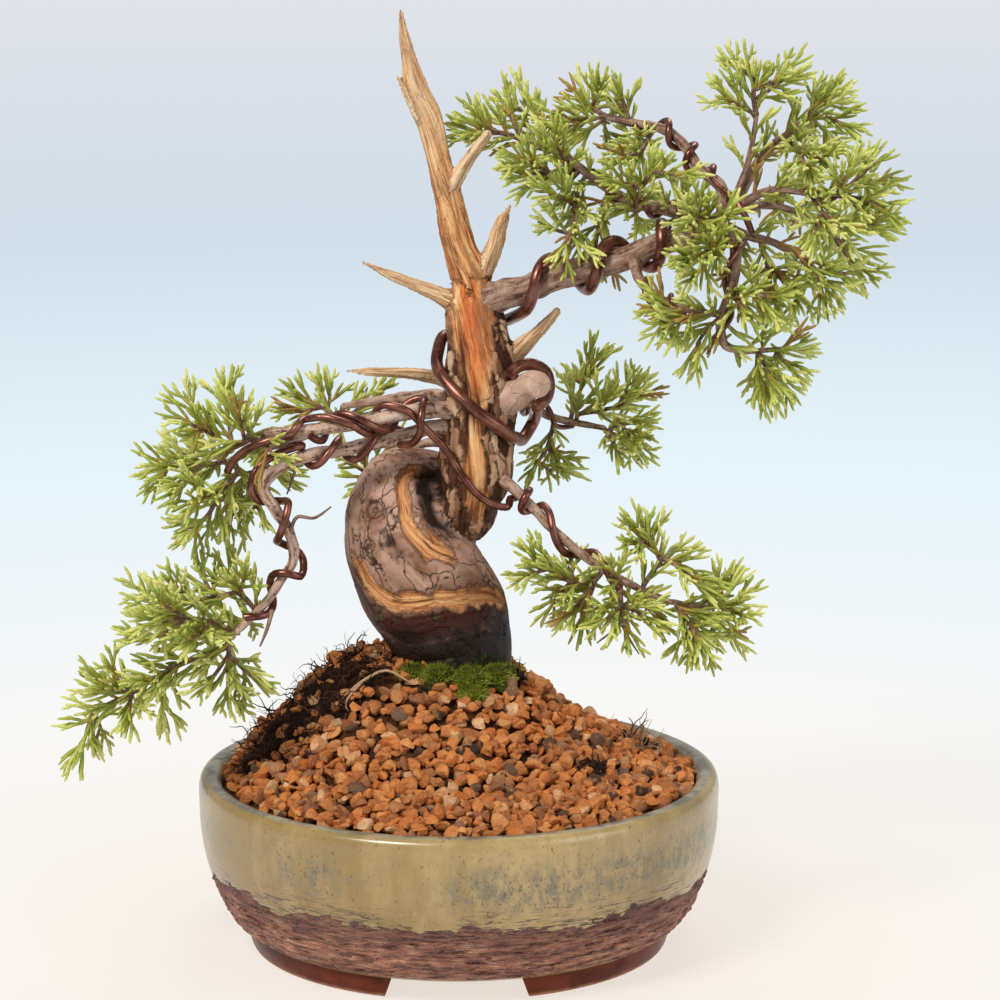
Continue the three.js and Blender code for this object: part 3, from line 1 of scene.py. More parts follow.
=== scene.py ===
# %% [markdown]
# # A wired juniper bonsai in a round stoneware pot
# The solids of the pot, the soil, the tree, its wires and its sprays of foliage are
# already packed, in metres, with +Z up. This file dresses them: each coarse solid is
# replaced by a finer piece that keeps its form and its place, and every surface gets
# a procedural finish. Routes are written in millimetres from the pot's axis.

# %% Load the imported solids
import json
import math
import random

import bpy
import numpy as np
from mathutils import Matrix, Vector, noise
from mathutils.kdtree import KDTree

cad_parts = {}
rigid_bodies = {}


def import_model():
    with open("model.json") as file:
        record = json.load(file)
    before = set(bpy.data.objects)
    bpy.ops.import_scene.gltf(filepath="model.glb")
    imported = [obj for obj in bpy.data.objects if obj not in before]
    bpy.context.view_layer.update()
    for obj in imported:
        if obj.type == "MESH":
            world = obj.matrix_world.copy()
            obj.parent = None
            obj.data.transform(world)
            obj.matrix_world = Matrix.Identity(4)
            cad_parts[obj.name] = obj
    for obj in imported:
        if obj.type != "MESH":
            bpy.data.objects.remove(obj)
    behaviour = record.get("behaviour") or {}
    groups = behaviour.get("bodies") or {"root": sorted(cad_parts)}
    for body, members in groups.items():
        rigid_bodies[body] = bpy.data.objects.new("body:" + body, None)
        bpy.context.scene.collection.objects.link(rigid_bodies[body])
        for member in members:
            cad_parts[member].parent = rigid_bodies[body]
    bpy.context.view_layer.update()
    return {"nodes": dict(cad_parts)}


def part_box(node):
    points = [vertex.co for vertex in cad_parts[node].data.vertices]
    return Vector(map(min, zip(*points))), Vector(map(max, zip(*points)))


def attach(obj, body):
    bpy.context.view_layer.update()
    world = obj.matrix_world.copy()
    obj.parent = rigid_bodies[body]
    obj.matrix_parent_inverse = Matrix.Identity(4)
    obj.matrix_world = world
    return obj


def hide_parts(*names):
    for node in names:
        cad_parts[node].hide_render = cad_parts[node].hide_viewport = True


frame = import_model()
pot_low, pot_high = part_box("pot")
AXIS = np.array([(pot_low.x + pot_high.x) / 2, (pot_low.y + pot_high.y) / 2, 0.0])
MM = 0.001
print("solids", len(frame["nodes"]), "pot axis", AXIS.round(4))

# %% [markdown]
# ## Camera
# A small product is photographed from about a metre away with a long lens, so that
# the near rim of the pot is hardly larger than the far one. The camera looks down
# by eleven degrees, enough to show the soil inside the rim.

# %% Camera
camera_data = bpy.data.cameras.new("camera")
camera_data.lens = 126
camera_data.sensor_width = 36
camera = bpy.data.objects.new("camera", camera_data)
camera.location = Vector(AXIS) + Vector((0.01345, -1.1112, 0.3589))
camera.rotation_euler = (math.radians(90 - 10.83), 0, 0)
bpy.context.collection.objects.link(camera)
bpy.context.scene.camera = camera
print("camera at", tuple(round(c, 3) for c in camera.location))

# %% [markdown]
# ## Finishes as sums
# A finish is a small network of nodes. Written by hand that is long and hard to read,
# so one class wraps a socket: adding or multiplying two of them adds a Math node, and
# every other node comes from its one method, make.


# %% A socket that can be added and multiplied
class Field:
    def __init__(self, tree, socket=None):
        self.tree, self.socket = tree, socket

    def make(self, kind, settings=None, inputs=None, output=0):
        node = self.tree.nodes.new(kind)
        for key, value in (settings or {}).items():
            if key != "stops":
                setattr(node, key, value)
                continue
            ramp = node.color_ramp
            while len(ramp.elements) < len(value):
                ramp.elements.new(1.0)
            for element, (position, colour) in zip(ramp.elements, value):
                element.position = position
                element.color = (*colour, 1.0) if len(colour) == 3 else colour
        for key, value in (inputs or {}).items():
            if isinstance(value, Field):
                self.tree.links.new(value.socket, node.inputs[key])
            else:
                node.inputs[key].default_value = value
        return Field(self.tree, node.outputs[output])

    def maths(self, operation, first, second):
        return self.make("ShaderNodeMath", {"operation": operation}, {0: first, 1: second})

    def __add__(self, other):
        return self.maths("ADD", self, other)

    __radd__ = __add__

    def __sub__(self, other):
        return self.maths("SUBTRACT", self, other)

    def __rsub__(self, other):
        return self.maths("SUBTRACT", other, self)

    def __mul__(self, other):
        return self.maths("MULTIPLY", self, other)

    __rmul__ = __mul__

    def __truediv__(self, other):
        return self.maths("DIVIDE", self, other)

    def __rtruediv__(self, other):
        return self.maths("DIVIDE", other, self)

    def __pow__(self, other):
        return self.maths("POWER", self, other)


# %% [markdown]
# A handful of words cover nearly every finish here: a stretched noise, a soft step
# between two values, a blend of two colours and a ramp of several.


# %% The words of a finish
class Finish(Field):
    def __init__(self, name, **constants):
        self.material = bpy.data.materials.new(name)
        self.material.use_nodes = True
        super().__init__(self.material.node_tree)
        self.shader = self.tree.nodes["Principled BSDF"]
        for key, value in constants.items():
            self.shader.inputs[key.replace("_", " ").title().replace("Ior", "IOR")].default_value = value
        self.place = self.make("ShaderNodeTexCoord", output="Object")

    def attribute(self, name, output="Fac"):
        return self.make("ShaderNodeAttribute", {"attribute_name": name}, output=output)

    def stretched(self, where, scale):
        return self.make("ShaderNodeMapping", inputs={"Vector": where, "Scale": scale})

    def noise(self, where, size, detail=4.0, rough=0.55, warp=0.0):
        scale = {"Vector": where, "Scale": 1 / size, "Detail": detail, "Roughness": rough, "Distortion": warp}
        return self.make("ShaderNodeTexNoise", inputs=scale)

    def cells(self, where, size, feature="F1"):
        return self.make("ShaderNodeTexVoronoi", {"feature": feature}, {"Vector": where, "Scale": 1 / size})

    def step(self, value, low, high, a=0.0, b=1.0):
        settings = {"interpolation_type": "SMOOTHSTEP"}
        ends = {"Value": value, "From Min": low, "From Max": high, "To Min": a, "To Max": b}
        return self.make("ShaderNodeMapRange", settings, ends)

    def blend(self, factor, a, b, how="MIX"):
        colour = lambda c: c if isinstance(c, Field) else (*c, 1.0)
        settings = {"data_type": "RGBA", "blend_type": how}
        inputs = {0: factor, 6: colour(a), 7: colour(b)}
        return self.make("ShaderNodeMix", settings, inputs, output=2)

    def ramp(self, value, *stops):
        return self.make("ShaderNodeValToRGB", {"stops": stops}, {"Fac": value})

    def warped(self, where, size, reach):
        """The same places, pushed about by noise, so that straight lines wander."""
        push = self.make("ShaderNodeTexNoise", inputs={"Vector": where, "Scale": 1 / size}, output=1)
        return self.make("ShaderNodeVectorMath", {"operation": "MULTIPLY_ADD"}, {0: push, 1: (reach,) * 3, 2: where})

    def height(self, value):
        return self.make("ShaderNodeSeparateXYZ", inputs={0: value}, output=2)

    def feed(self, **fields):
        for key, value in fields.items():
            self.tree.links.new(value.socket, self.shader.inputs[key.replace("_", " ").title()])
        return self.material

    def relief(self, value, distance, strength=1.0):
        inputs = {"Height": value, "Distance": distance, "Strength": strength}
        return self.make("ShaderNodeBump", inputs=inputs)


# %% [markdown]
# ## Floor and light
# The plant stands on a plain pale floor that runs out to a soft, slightly blue
# distance. The floor glows: its emission, warm near the pot and bluer far off, is
# painted light in place of a lit backdrop. The light comes from large soft panels: a
# key from the upper left, a wide fill from the right and one from above and behind
# that lights up the leaf tips.
# Colours are shown as they are, without a film curve, as in a product photograph.

# %% Floor
bpy.context.scene.view_settings.view_transform = "Standard"
bpy.ops.object.select_all(action="DESELECT")
bpy.ops.mesh.primitive_circle_add(vertices=64, radius=30, fill_type="NGON", location=(0, 0, -0.0002))
floor = bpy.context.object
floor.name = "floor"
EYE_HEIGHT, EYE_DISTANCE = 0.359, 1.111
pale = Finish("pale_floor", roughness=0.9, specular_ior_level=0.0, emission_strength=1.0)
away = pale.make("ShaderNodeVectorMath", {"operation": "LENGTH"}, {0: pale.place}, output=1)
near = EYE_HEIGHT / (away + EYE_DISTANCE)
stops = (
    *((0.0, (0.69, 0.705, 0.755)), (0.25, (0.565, 0.645, 0.715)), (0.5, (0.63, 0.715, 0.765))),
    *((0.75, (0.735, 0.73, 0.715)), (1.0, (0.74, 0.67, 0.605))),
)
# Painted light: the floor glows with this colour, warm near the eye and bluish far off; its base colour is a quarter of
# it.
distance = pale.ramp(pale.make("ShaderNodeMapRange", None, {"Value": near, 1: 0.047, 2: 0.32}), *stops)
pale.feed(base_color=pale.blend(0.75, distance, (0, 0, 0)), emission_color=distance)
floor.data.materials.append(pale.material)


# %% Lights
def panel(name, place, aim, size, watts, colour=(1, 1, 1)):
    light = bpy.data.lights.new(name, "AREA")
    light.shape, light.size, light.energy, light.color = "DISK", size, watts, colour
    lamp = bpy.data.objects.new(name, light)
    lamp.location = place
    lamp.rotation_euler = (Vector(aim) - Vector(place)).to_track_quat("-Z", "Y").to_euler()
    bpy.context.collection.objects.link(lamp)


MIDDLE = (0, 0, 0.15)
panel("key", (-0.9, -1.2, 1.6), MIDDLE, 0.7, 36, (1.0, 0.96, 0.91))
panel("fill", (1.5, -0.9, 0.8), MIDDLE, 1.2, 9, (0.98, 0.98, 1.0))
panel("top", (0.3, 0.9, 1.6), MIDDLE, 1.0, 13, (1.0, 1.0, 1.0))
world = bpy.data.worlds.new("studio")
world.use_nodes = True
world.node_tree.nodes["Background"].inputs["Color"].default_value = (0.93, 0.96, 1.0, 1.0)
world.node_tree.nodes["Background"].inputs["Strength"].default_value = 0.34
bpy.context.scene.world = world

# %% [markdown]
# ## Modelling helpers
# Pieces are made as by hand: a primitive is added, shaped in edit mode, and finished
# with modifiers. These helpers keep the repeated steps short. A finished piece is put
# on the body of the imported model and hides the solids it stands for.


# %% Helpers
def alone(piece=None):
    if bpy.context.object and bpy.context.object.mode != "OBJECT":
        bpy.ops.object.mode_set(mode="OBJECT")
    bpy.ops.object.select_all(action="DESELECT")
    if piece:
        bpy.context.view_layer.objects.active = piece
        piece.select_set(True)


def apply_all(piece):
    alone(piece)
    for modifier in list(piece.modifiers):
        bpy.ops.object.modifier_apply(modifier=modifier.name)


def settle(piece):
    """The piece's place goes into its mesh, so that its object sits at the origin."""
    alone(piece)
    bpy.ops.object.transform_apply(location=True, rotation=True, scale=True)


def mesh_of(name, points, faces):
    """A piece from points in millimetres about the pot's axis."""
    alone()
    mesh = bpy.data.meshes.new(name)
    mesh.from_pydata((np.asarray(points) * MM + AXIS).tolist(), [], faces)
    mesh.update()
    piece = bpy.data.objects.new(name, mesh)
    bpy.context.collection.objects.link(piece)
    alone(piece)
    return piece


def coordinates(piece):
    """The piece's points, in millimetres about the pot's axis."""
    flat = np.empty(len(piece.data.vertices) * 3)
    piece.data.vertices.foreach_get("co", flat)
    return (flat.reshape(-1, 3) - AXIS) / MM


def put(piece, points):
    piece.data.vertices.foreach_set("co", (points * MM + AXIS).ravel())
    piece.data.update()


def paint(piece, name, values):
    """Keeps a number, or a place, for each point, for the finish to read."""
    values = np.asarray(values, dtype=np.float32)
    kind, key = ("FLOAT", "value") if values.ndim == 1 else ("FLOAT_VECTOR", "vector")
    layer = piece.data.attributes.new(name, kind, "POINT")
    layer.data.foreach_set(key, values.ravel())


def dress(piece, finish, slot, *nodes, angle=40):
    piece.data.materials.clear()
    piece.data.materials.append(finish)
    alone(piece)
    bpy.ops.object.shade_smooth_by_angle(angle=math.radians(angle))
    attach(piece, "root")
    if nodes:
        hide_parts(*nodes)
    triangles = sum(len(p.vertices) - 2 for p in piece.data.polygons)
    print(f"{piece.name}: {triangles} triangles")
    return piece


def smooth(low, high, value):
    t = np.clip((np.asarray(value, float) - low) / (high - low), 0, 1)
    return t * t * (3 - 2 * t)


def noises(points, size, octaves=1, seed=0):
    """Smooth noise from -1 to 1 at each point, for features of the given size."""
    lift = Vector((seed * 17.3, seed * 5.1, seed * 9.7))
    values = []
    for point in points:
        where = Vector(point) / size + lift
        values.append(noise.fractal(where, 1.0, 2.0, octaves) if octaves > 1 else noise.noise(where))
    return np.array(values)

# %% [markdown]
# ## Limbs
# Trunk, branches, twigs, wires and roots are all drawn the same way: a smooth curve
# through given points, with a thickness at each. A place on a limb is counted in
# its points, so 2.5 is half way from the third to the fourth, and an angle goes round
# it from the side that faces the front.

# %% A limb
FRONT, RIGHT, UP = np.array([0.0, -1, 0]), np.array([1.0, 0, 0]), np.array([0.0, 0, 1])


def unit(v):
    return v / np.linalg.norm(v)


class Limb:
    def __init__(self, points, zero=FRONT):
        self.points, self.zero, self.spans = np.array(points, float), zero, len(points) - 1
        p = self.points[:, :3]
        self.p = np.vstack([2 * p[0] - p[1], p, 2 * p[-1] - p[-2]])

    def span(self, at):
        i = min(int(max(at, 0)), self.spans - 1)
        return i, min(max(at, 0), self.spans) - i

    def centre(self, at):
        i, t = self.span(at)
        p0, p1, p2, p3 = self.p[i : i + 4]
        d0, d1, d2 = (max(np.linalg.norm(b - a) ** 0.5, 1e-4) for a, b in ((p0, p1), (p1, p2), (p2, p3)))
        t1 = ((p1 - p0) / d0 - (p2 - p0) / (d0 + d1) + (p2 - p1) / d1) * d1
        t2 = ((p2 - p1) / d1 - (p3 - p1) / (d1 + d2) + (p3 - p2) / d2) * d1
        return p1 + t1 * t + (3 * (p2 - p1) - 2 * t1 - t2) * t**2 + (2 * (p1 - p2) + t1 + t2) * t**3

    def radius(self, at):
        i, t = self.span(at)
        near, far = self.points[i : i + 2, 3]
        return near + (far - near) * t * t * (3 - 2 * t)

    def frame(self, at):
        at = min(max(at, 0.002), self.spans - 0.002)
        tangent = unit(self.centre(at + 1e-3) - self.centre(at - 1e-3))
        zero = unit(self.zero - tangent * np.dot(self.zero, tangent))
        return tangent, zero, np.cross(tangent, zero)

    def beside(self, at, angle, out=0.0, flutes=0.0):
        _, zero, side = self.frame(at)
        turn, reach = math.radians(angle), self.radius(at) * (1 + flutes) + out
        return self.centre(at) + (zero * math.cos(turn) + side * math.sin(turn)) * reach

    def places(self, step):
        """Places along the limb, about step millimetres apart."""
        lengths = np.linalg.norm(np.diff(self.points[:, :3], axis=0), axis=1)
        counts = [max(1, round(length / step)) for length in lengths]
        return np.concatenate([i + np.arange(n) / n for i, n in enumerate(counts)] + [[self.spans]])

    def run(self, at):
        """The length of the limb up to each place."""
        lengths = np.linalg.norm(np.diff(self.points[:, :3], axis=0), axis=1)
        return np.interp(at, np.arange(self.spans + 1), np.concatenate([[0], np.cumsum(lengths)]))

    def grain(self, places, sides):
        """For each point of the limb's skin, its place in the grain: round it and along."""
        turns = np.tile(np.arange(sides) * 2 * math.pi / sides, len(places))
        turns = np.concatenate([[0], turns, [0]])
        at = np.concatenate([places[:1], np.repeat(places, sides), places[-1:]])
        reach = np.array([self.radius(a) for a in at]) + 1
        return np.stack([np.cos(turns) * reach, np.sin(turns) * reach, self.run(at)], 1)


# %% [markdown]
# Sweeping a ring of points along a limb gives its skin. The ring keeps to the limb's
# own frame, and a shape function can swell or hollow it anywhere. Many small sweeps
# and copies are gathered in one heap, which becomes one piece.


# %% Sweeping and gathering
def swept(limb, places, sides, shape=None, tip=0.3):
    """Points and faces of a closed skin; shape(at, angles, radius) gives the radii."""
    turns = np.arange(sides) * 2 * math.pi / sides
    rings, spokes = [], None
    for at in places:
        tangent, zero, side = limb.frame(at)
        if spokes is not None and shape is None:
            zero = unit(spokes - tangent * np.dot(spokes, tangent))
            side = np.cross(tangent, zero)
        spokes = zero
        radii = shape(at, turns, limb.radius(at)) if shape else np.full(sides, limb.radius(at))
        around = np.outer(np.cos(turns) * radii, zero) + np.outer(np.sin(turns) * radii, side)
        rings.append(limb.centre(at) + around)
    first = limb.centre(places[0]) - limb.frame(places[0])[0] * tip * limb.radius(places[0])
    last = limb.centre(places[-1]) + limb.frame(places[-1])[0] * tip * limb.radius(places[-1])
    points = np.vstack([first, *rings, last])
    k = np.arange(sides)
    after = (k + 1) % sides
    faces = [np.stack([np.zeros(sides, int), 1 + after, 1 + k], 1)]
    for r in range(len(rings) - 1):
        a, b, c, d = 1 + r * sides + k, 1 + r * sides + after, 1 + (r + 1) * sides + after, 1 + (r + 1) * sides + k
        faces += [np.stack([a, b, c], 1), np.stack([a, c, d], 1)]
    end = 1 + (len(rings) - 1) * sides
    faces.append(np.stack([np.full(sides, len(points) - 1), end + k, end + after], 1))
    return points, np.vstack(faces)


class Heap:
    def __init__(self, *names):
        self.points, self.faces, self.count = [], [], 0
        self.values = {name: [] for name in names}

    def add(self, points, faces, **values):
        self.points.append(points)
        self.faces.append(faces + self.count)
        self.count += len(points)
        for name, kept in self.values.items():
            value = np.asarray(values.get(name, 0.0), dtype=float)
            kept.append(value if value.ndim == 2 else np.broadcast_to(value, len(points)))

    def piece(self, name):
        piece = mesh_of(name, np.vstack(self.points), np.vstack(self.faces).tolist())
        for key, kept in self.values.items():
            paint(piece, key, np.concatenate(kept))
        return piece

# %% [markdown]
# ## The pot
# A bonsai pot like this is thrown on a wheel, scored with a coarse tool round its
# foot, and dipped in glaze from above, so the glaze ends in a ragged line over the
# scored clay. It is made as a potter would: one ring of clay is drawn up the outline,
# over the lip and down inside. A ring of edges is extruded and scaled, step by step.


# %% Drawing a ring up an outline
def thrown(name, outline, sides, hollow=False):
    """outline: radius and height of each ring, from under the floor to the inside."""
    alone()
    radius, height = outline[0]
    centre = Vector(AXIS) + Vector((0, 0, height * MM))
    bpy.ops.mesh.primitive_circle_add(vertices=sides, radius=radius * MM, location=centre)
    piece = bpy.context.object
    piece.name = name
    bpy.ops.object.mode_set(mode="EDIT")
    bpy.ops.mesh.select_mode(type="EDGE")
    bpy.ops.mesh.select_all(action="SELECT")
    for (r0, z0), (r1, z1) in zip(outline, outline[1:]):
        rise = {"value": (0, 0, (z1 - z0) * MM)}
        bpy.ops.mesh.extrude_region_move(TRANSFORM_OT_translate=rise)
        pivot = Vector(AXIS) + Vector((0, 0, z1 * MM))
        bpy.ops.transform.resize(value=(r1 / r0, r1 / r0, 1), center_override=pivot)
    if not hollow:
        bpy.ops.mesh.edge_face_add()
    bpy.ops.mesh.select_all(action="DESELECT")
    bpy.ops.mesh.select_non_manifold()
    if hollow:
        bpy.ops.mesh.bridge_edge_loops()
    else:
        bpy.ops.mesh.edge_face_add()
    bpy.ops.mesh.select_all(action="SELECT")
    bpy.ops.mesh.normals_make_consistent(inside=False)
    bpy.ops.object.mode_set(mode="OBJECT")
    settle(piece)
    return piece


def curved(outline, spacing):
    """A soft line through the outline's corners, in steps of about the spacing."""
    line = Limb([(r, 0, z, 1) for r, z in outline])
    rings = []
    for i in range(line.spans):
        count = max(1, round(math.dist(outline[i], outline[i + 1]) / spacing))
        rings += [line.centre(i + k / count)[[0, 2]] for k in range(count)]
    return [tuple(ring) for ring in rings] + [outline[-1]]


# %% Pot body
POT_OUTSIDE = [(70.2, 7.25), (73.6, 9.6), (76.5, 13), (79, 18), (81, 23), (83.3, 31), (84.7, 40), (85, 48)]
POT_LIP = [(85, 53.5), (84.2, 55.8), (82.6, 56.8), (80.6, 57), (78.9, 56.3), (77.8, 54.6)]
POT_INSIDE = [(77.5, 52), (77.5, 36), (74.5, 25), (68, 15), (64, 14)]
rings = [(45, 7.2)] + curved(POT_OUTSIDE + POT_LIP + POT_INSIDE, 0.95) + [(40, 14)]
pot = thrown("pot_body", rings, 360)
print("rings", len(rings))

# %% [markdown]
# The scored clay is real relief: long shallow gouges that run round the pot, and
# crumbs of clay that the tool dragged up. The glaze fills and softens it higher up.

# %% Scored clay
points = coordinates(pot)
turn = np.arctan2(points[:, 1], points[:, 0])
radius = np.hypot(points[:, 0], points[:, 1])
outer = (radius > 69.5) & (points[:, 2] < 40) & (points[:, 2] > 7.4)
low = points[outer]
ragged = 27.2 + 3.0 * noises(low * [1, 1, 0.15], 26, 3, seed=1) + 2.4 * noises(low * [1, 1, 2.5], 6, 3, seed=4)
raw = smooth(3.2, -3.2, low[:, 2] - ragged) * smooth(7.3, 9, low[:, 2])
gouges = -np.abs(noises(low * [1, 1, 9], 13, 3, seed=2))
crumbs = np.clip(noises(low * [1, 1, 1.6], 2.6, 2, seed=3), 0.05, 1)
push = raw * (1.3 * gouges + 0.9 * crumbs)
points[outer, 0] *= 1 + push / radius[outer]
points[outer, 1] *= 1 + push / radius[outer]
put(pot, points)
bare = np.zeros(len(points))
bare[outer] = raw
paint(pot, "bare", bare)


# %% Drain holes
def drill(piece, cutter):
    cut = piece.modifiers.new("cut", "BOOLEAN")
    cut.object, cut.solver = cutter, "EXACT"
    apply_all(piece)
    bpy.data.objects.remove(cutter)


for side in (-26, 26):
    alone()
    where = Vector(AXIS) + Vector((side * MM, 0, 0.010))
    bpy.ops.mesh.primitive_cylinder_add(vertices=48, radius=0.007, depth=0.02, location=where)
    drill(pot, bpy.context.object)

# %% [markdown]
# ## The three feet
# The feet were cut from one ring of clay under the pot, each gap with sloping sides.
# A ring is drawn from an outline, three wedges are cut away, and its edges rounded.

# %% Feet
FOOT = [(58.6, 1.2), (59.2, 0.2), (60.4, 0), (66.8, 0), (68, 0.35), (68.6, 1.4), (69.2, 4), (69.9, 8.2), (59.4, 8.2)]
feet = thrown("pot_feet", FOOT, 240, hollow=True)
for turn_by in range(3):
    alone()
    bpy.ops.mesh.primitive_cube_add(size=1, location=Vector(AXIS) + Vector((0, -0.066, 0.0015)))
    wedge = bpy.context.object
    wedge.scale = (0.0485, 0.04, 0.0122)
    settle(wedge)
    shape = coordinates(wedge)
    shape[shape[:, 2] > 3, 0] *= 40.5 / 48.5
    angle = turn_by * 2 * math.pi / 3
    spin = np.array([[math.cos(angle), math.sin(angle), 0], [-math.sin(angle), math.cos(angle), 0], [0, 0, 1]])
    put(wedge, shape @ spin)
    drill(feet, wedge)
rounding = feet.modifiers.new("rounding", "BEVEL")
rounding.width, rounding.segments, rounding.limit_method = 0.0007, 3, "ANGLE"
apply_all(feet)

# %% [markdown]
# ## Glaze and clay
# Upwards from the scored band the glaze is olive, cloudy with grey-blue where it ran
# thick, freckled with iron, and worn to blue-grey along the lip. Long dark scratches
# show through it just above the band. Below, the clay is purple-brown to rust.

# %% Pot finish
glaze = Finish("stoneware_glaze", roughness=0.34, coat_weight=0.3, coat_roughness=0.24)
up = glaze.height(glaze.place)
level = {"Vector": glaze.place, "Scale": (1, 1, 0), "Location": tuple(-AXIS)}
outwards = glaze.make("ShaderNodeVectorMath", {"operation": "LENGTH"}, {0: glaze.make("ShaderNodeMapping", inputs=level)}, 1)
flat = glaze.stretched(glaze.place, (1, 1, 0.35))
cloud = glaze.noise(flat, 0.030, 5, 0.6)
runs = glaze.noise(glaze.stretched(glaze.place, (1, 1, 0.12)), 0.0035, 3, 0.6)
olive = glaze.blend(glaze.step(cloud, 0.38, 0.62), (0.29, 0.190, 0.058), (0.46, 0.325, 0.135))
band = glaze.step(up + 0.010 * (cloud - 0.5), 0.031, 0.040) * glaze.step(up + 0.010 * (cloud - 0.5), 0.052, 0.043)
band = band * glaze.step(glaze.noise(flat, 0.05, 3), 0.34, 0.54)
mottled = glaze.noise(glaze.stretched(glaze.place, (1, 1, 0.7)), 0.0032, 5, 0.72)
olive = glaze.blend(0.35 * glaze.step(mottled, 0.42, 0.62), olive, (0.26, 0.205, 0.10))
olive = glaze.blend(band * glaze.step(mottled, 0.38, 0.64, 0.10, 0.85), olive, (0.155, 0.145, 0.100))
olive = glaze.blend(0.5 * glaze.step(runs, 0.55, 0.75) * glaze.step(up, 0.035, 0.05), olive, (0.33, 0.26, 0.08))
freckle = glaze.noise(glaze.stretched(glaze.place, (1, 1, 0.75)), 0.0009, 2, 0.5) + 0.05 * band
olive = glaze.blend(0.7 * glaze.step(freckle, 0.64, 0.71), olive, (0.13, 0.060, 0.028))
lip = glaze.step(up, 0.0545, 0.0558) * glaze.step(outwards + 0.004 * (cloud - 0.5), 0.0836, 0.0818)
lip_tone = glaze.blend(glaze.step(glaze.noise(glaze.place, 0.009, 4), 0.4, 0.65), (0.115, 0.115, 0.100), (0.33, 0.31, 0.225))
olive = glaze.blend(0.9 * lip, olive, lip_tone)
olive = glaze.blend(0.6 * glaze.step(outwards, 0.0792, 0.0778) * glaze.step(up, 0.045, 0.05), olive, (0.42, 0.41, 0.30))
ring_place = glaze.stretched(glaze.place, (1, 1, 16))
scratch = glaze.noise(ring_place, 0.027, 4, 0.6, 1.0)
line = glaze.step(glaze.make("ShaderNodeMath", {"operation": "ABSOLUTE"}, {0: scratch - 0.5}), 0.030, 0.012)
near_edge = glaze.step(up, 0.0385, 0.0295) * glaze.step(glaze.noise(glaze.place, 0.014, 3), 0.38, 0.52)
olive = glaze.blend(0.95 * line * near_edge, olive, (0.050, 0.030, 0.024))
rust = glaze.noise(glaze.stretched(glaze.place, (1, 1, 3.5)), 0.0085, 5, 0.7)
clay = glaze.ramp(
    rust,
    (0.30, (0.130, 0.048, 0.040)),
    (0.44, (0.310, 0.115, 0.082)),
    (0.53, (0.500, 0.205, 0.130)),
    (0.62, (0.640, 0.310, 0.190)),
    (0.74, (0.740, 0.520, 0.370)),
)
edge = glaze.noise(glaze.stretched(glaze.place, (1, 1, 6)), 0.011, 5, 0.7)
bare = glaze.step(glaze.attribute("bare") + 1.5 * (edge - 0.5), 0.38, 0.52)
grit = glaze.noise(glaze.stretched(glaze.place, (1, 1, 1.8)), 0.0011, 4, 0.75)
score = glaze.noise(glaze.stretched(glaze.place, (1, 1, 13)), 0.022, 4, 0.6, 0.8)
score = glaze.step(glaze.make("ShaderNodeMath", {"operation": "ABSOLUTE"}, {0: score - 0.5}), 0.004, 0.022)
clay = glaze.blend(0.55 * glaze.step(up, 0.015, 0.028), clay, (0.110, 0.050, 0.046))
# Painted shade: the score lines are painted near black, as shade in the gouges.
clay = glaze.blend(0.85 * (1 - score), clay, (0.040, 0.016, 0.016))
# Painted shade in the low pits of the grit, and a painted highlight on its raised crumbs.
clay = glaze.blend(0.4 * glaze.step(grit, 0.48, 0.36), clay, (0.075, 0.032, 0.030))
clay = glaze.blend(0.7 * glaze.step(grit, 0.62, 0.70), clay, (0.72, 0.50, 0.36))
glaze.feed(
    base_color=glaze.blend(bare, olive, clay),
    roughness=glaze.step(bare, 0, 1, 0.27, 0.62),
    coat_weight=glaze.step(bare, 0, 1, 0.35, 0.0),
    normal=glaze.relief(bare * (0.9 * grit + 1.0 * score) + 0.06 * cloud - 0.4 * bare, 0.0013, 1.0),
)
dress(pot, glaze.material, "pot_glaze", "pot")

# %% Foot finish
foot_clay = Finish("foot_clay", roughness=0.4, coat_weight=0.05, coat_roughness=0.2, specular_ior_level=0.12)
patchy = foot_clay.noise(foot_clay.place, 0.004, 4)
foot_up = foot_clay.height(foot_clay.place)
tone = foot_clay.noise(foot_clay.stretched(foot_clay.place, (1, 1, 2)), 0.012, 4)
red = foot_clay.blend(foot_clay.step(tone, 0.35, 0.65), (0.075, 0.012, 0.006), (0.150, 0.030, 0.013))
rubbed = foot_clay.step(foot_up + 0.002 * (patchy - 0.5), 0.0019, 0.0004)
foot_clay.feed(
    base_color=foot_clay.blend(rubbed, red, (0.36, 0.17, 0.085)),
    roughness=foot_clay.step(rubbed, 0, 1, 0.34, 0.7),
    normal=foot_clay.relief(patchy, 0.0003, 0.5),
)
dress(feet, foot_clay.material, "pot_glaze", "pot")

# %% [markdown]
# ## Trunk and deadwood
# The trunk leans left out of the soil, folds over its own shoulder and climbs again to
# a bare spire. Living bark runs up one side; on the other the wood was stripped long
# ago and has weathered to pale orange grain. The trunk, the spire and the torn stubs
# are swept along their routes, remeshed into one skin, and then carved.

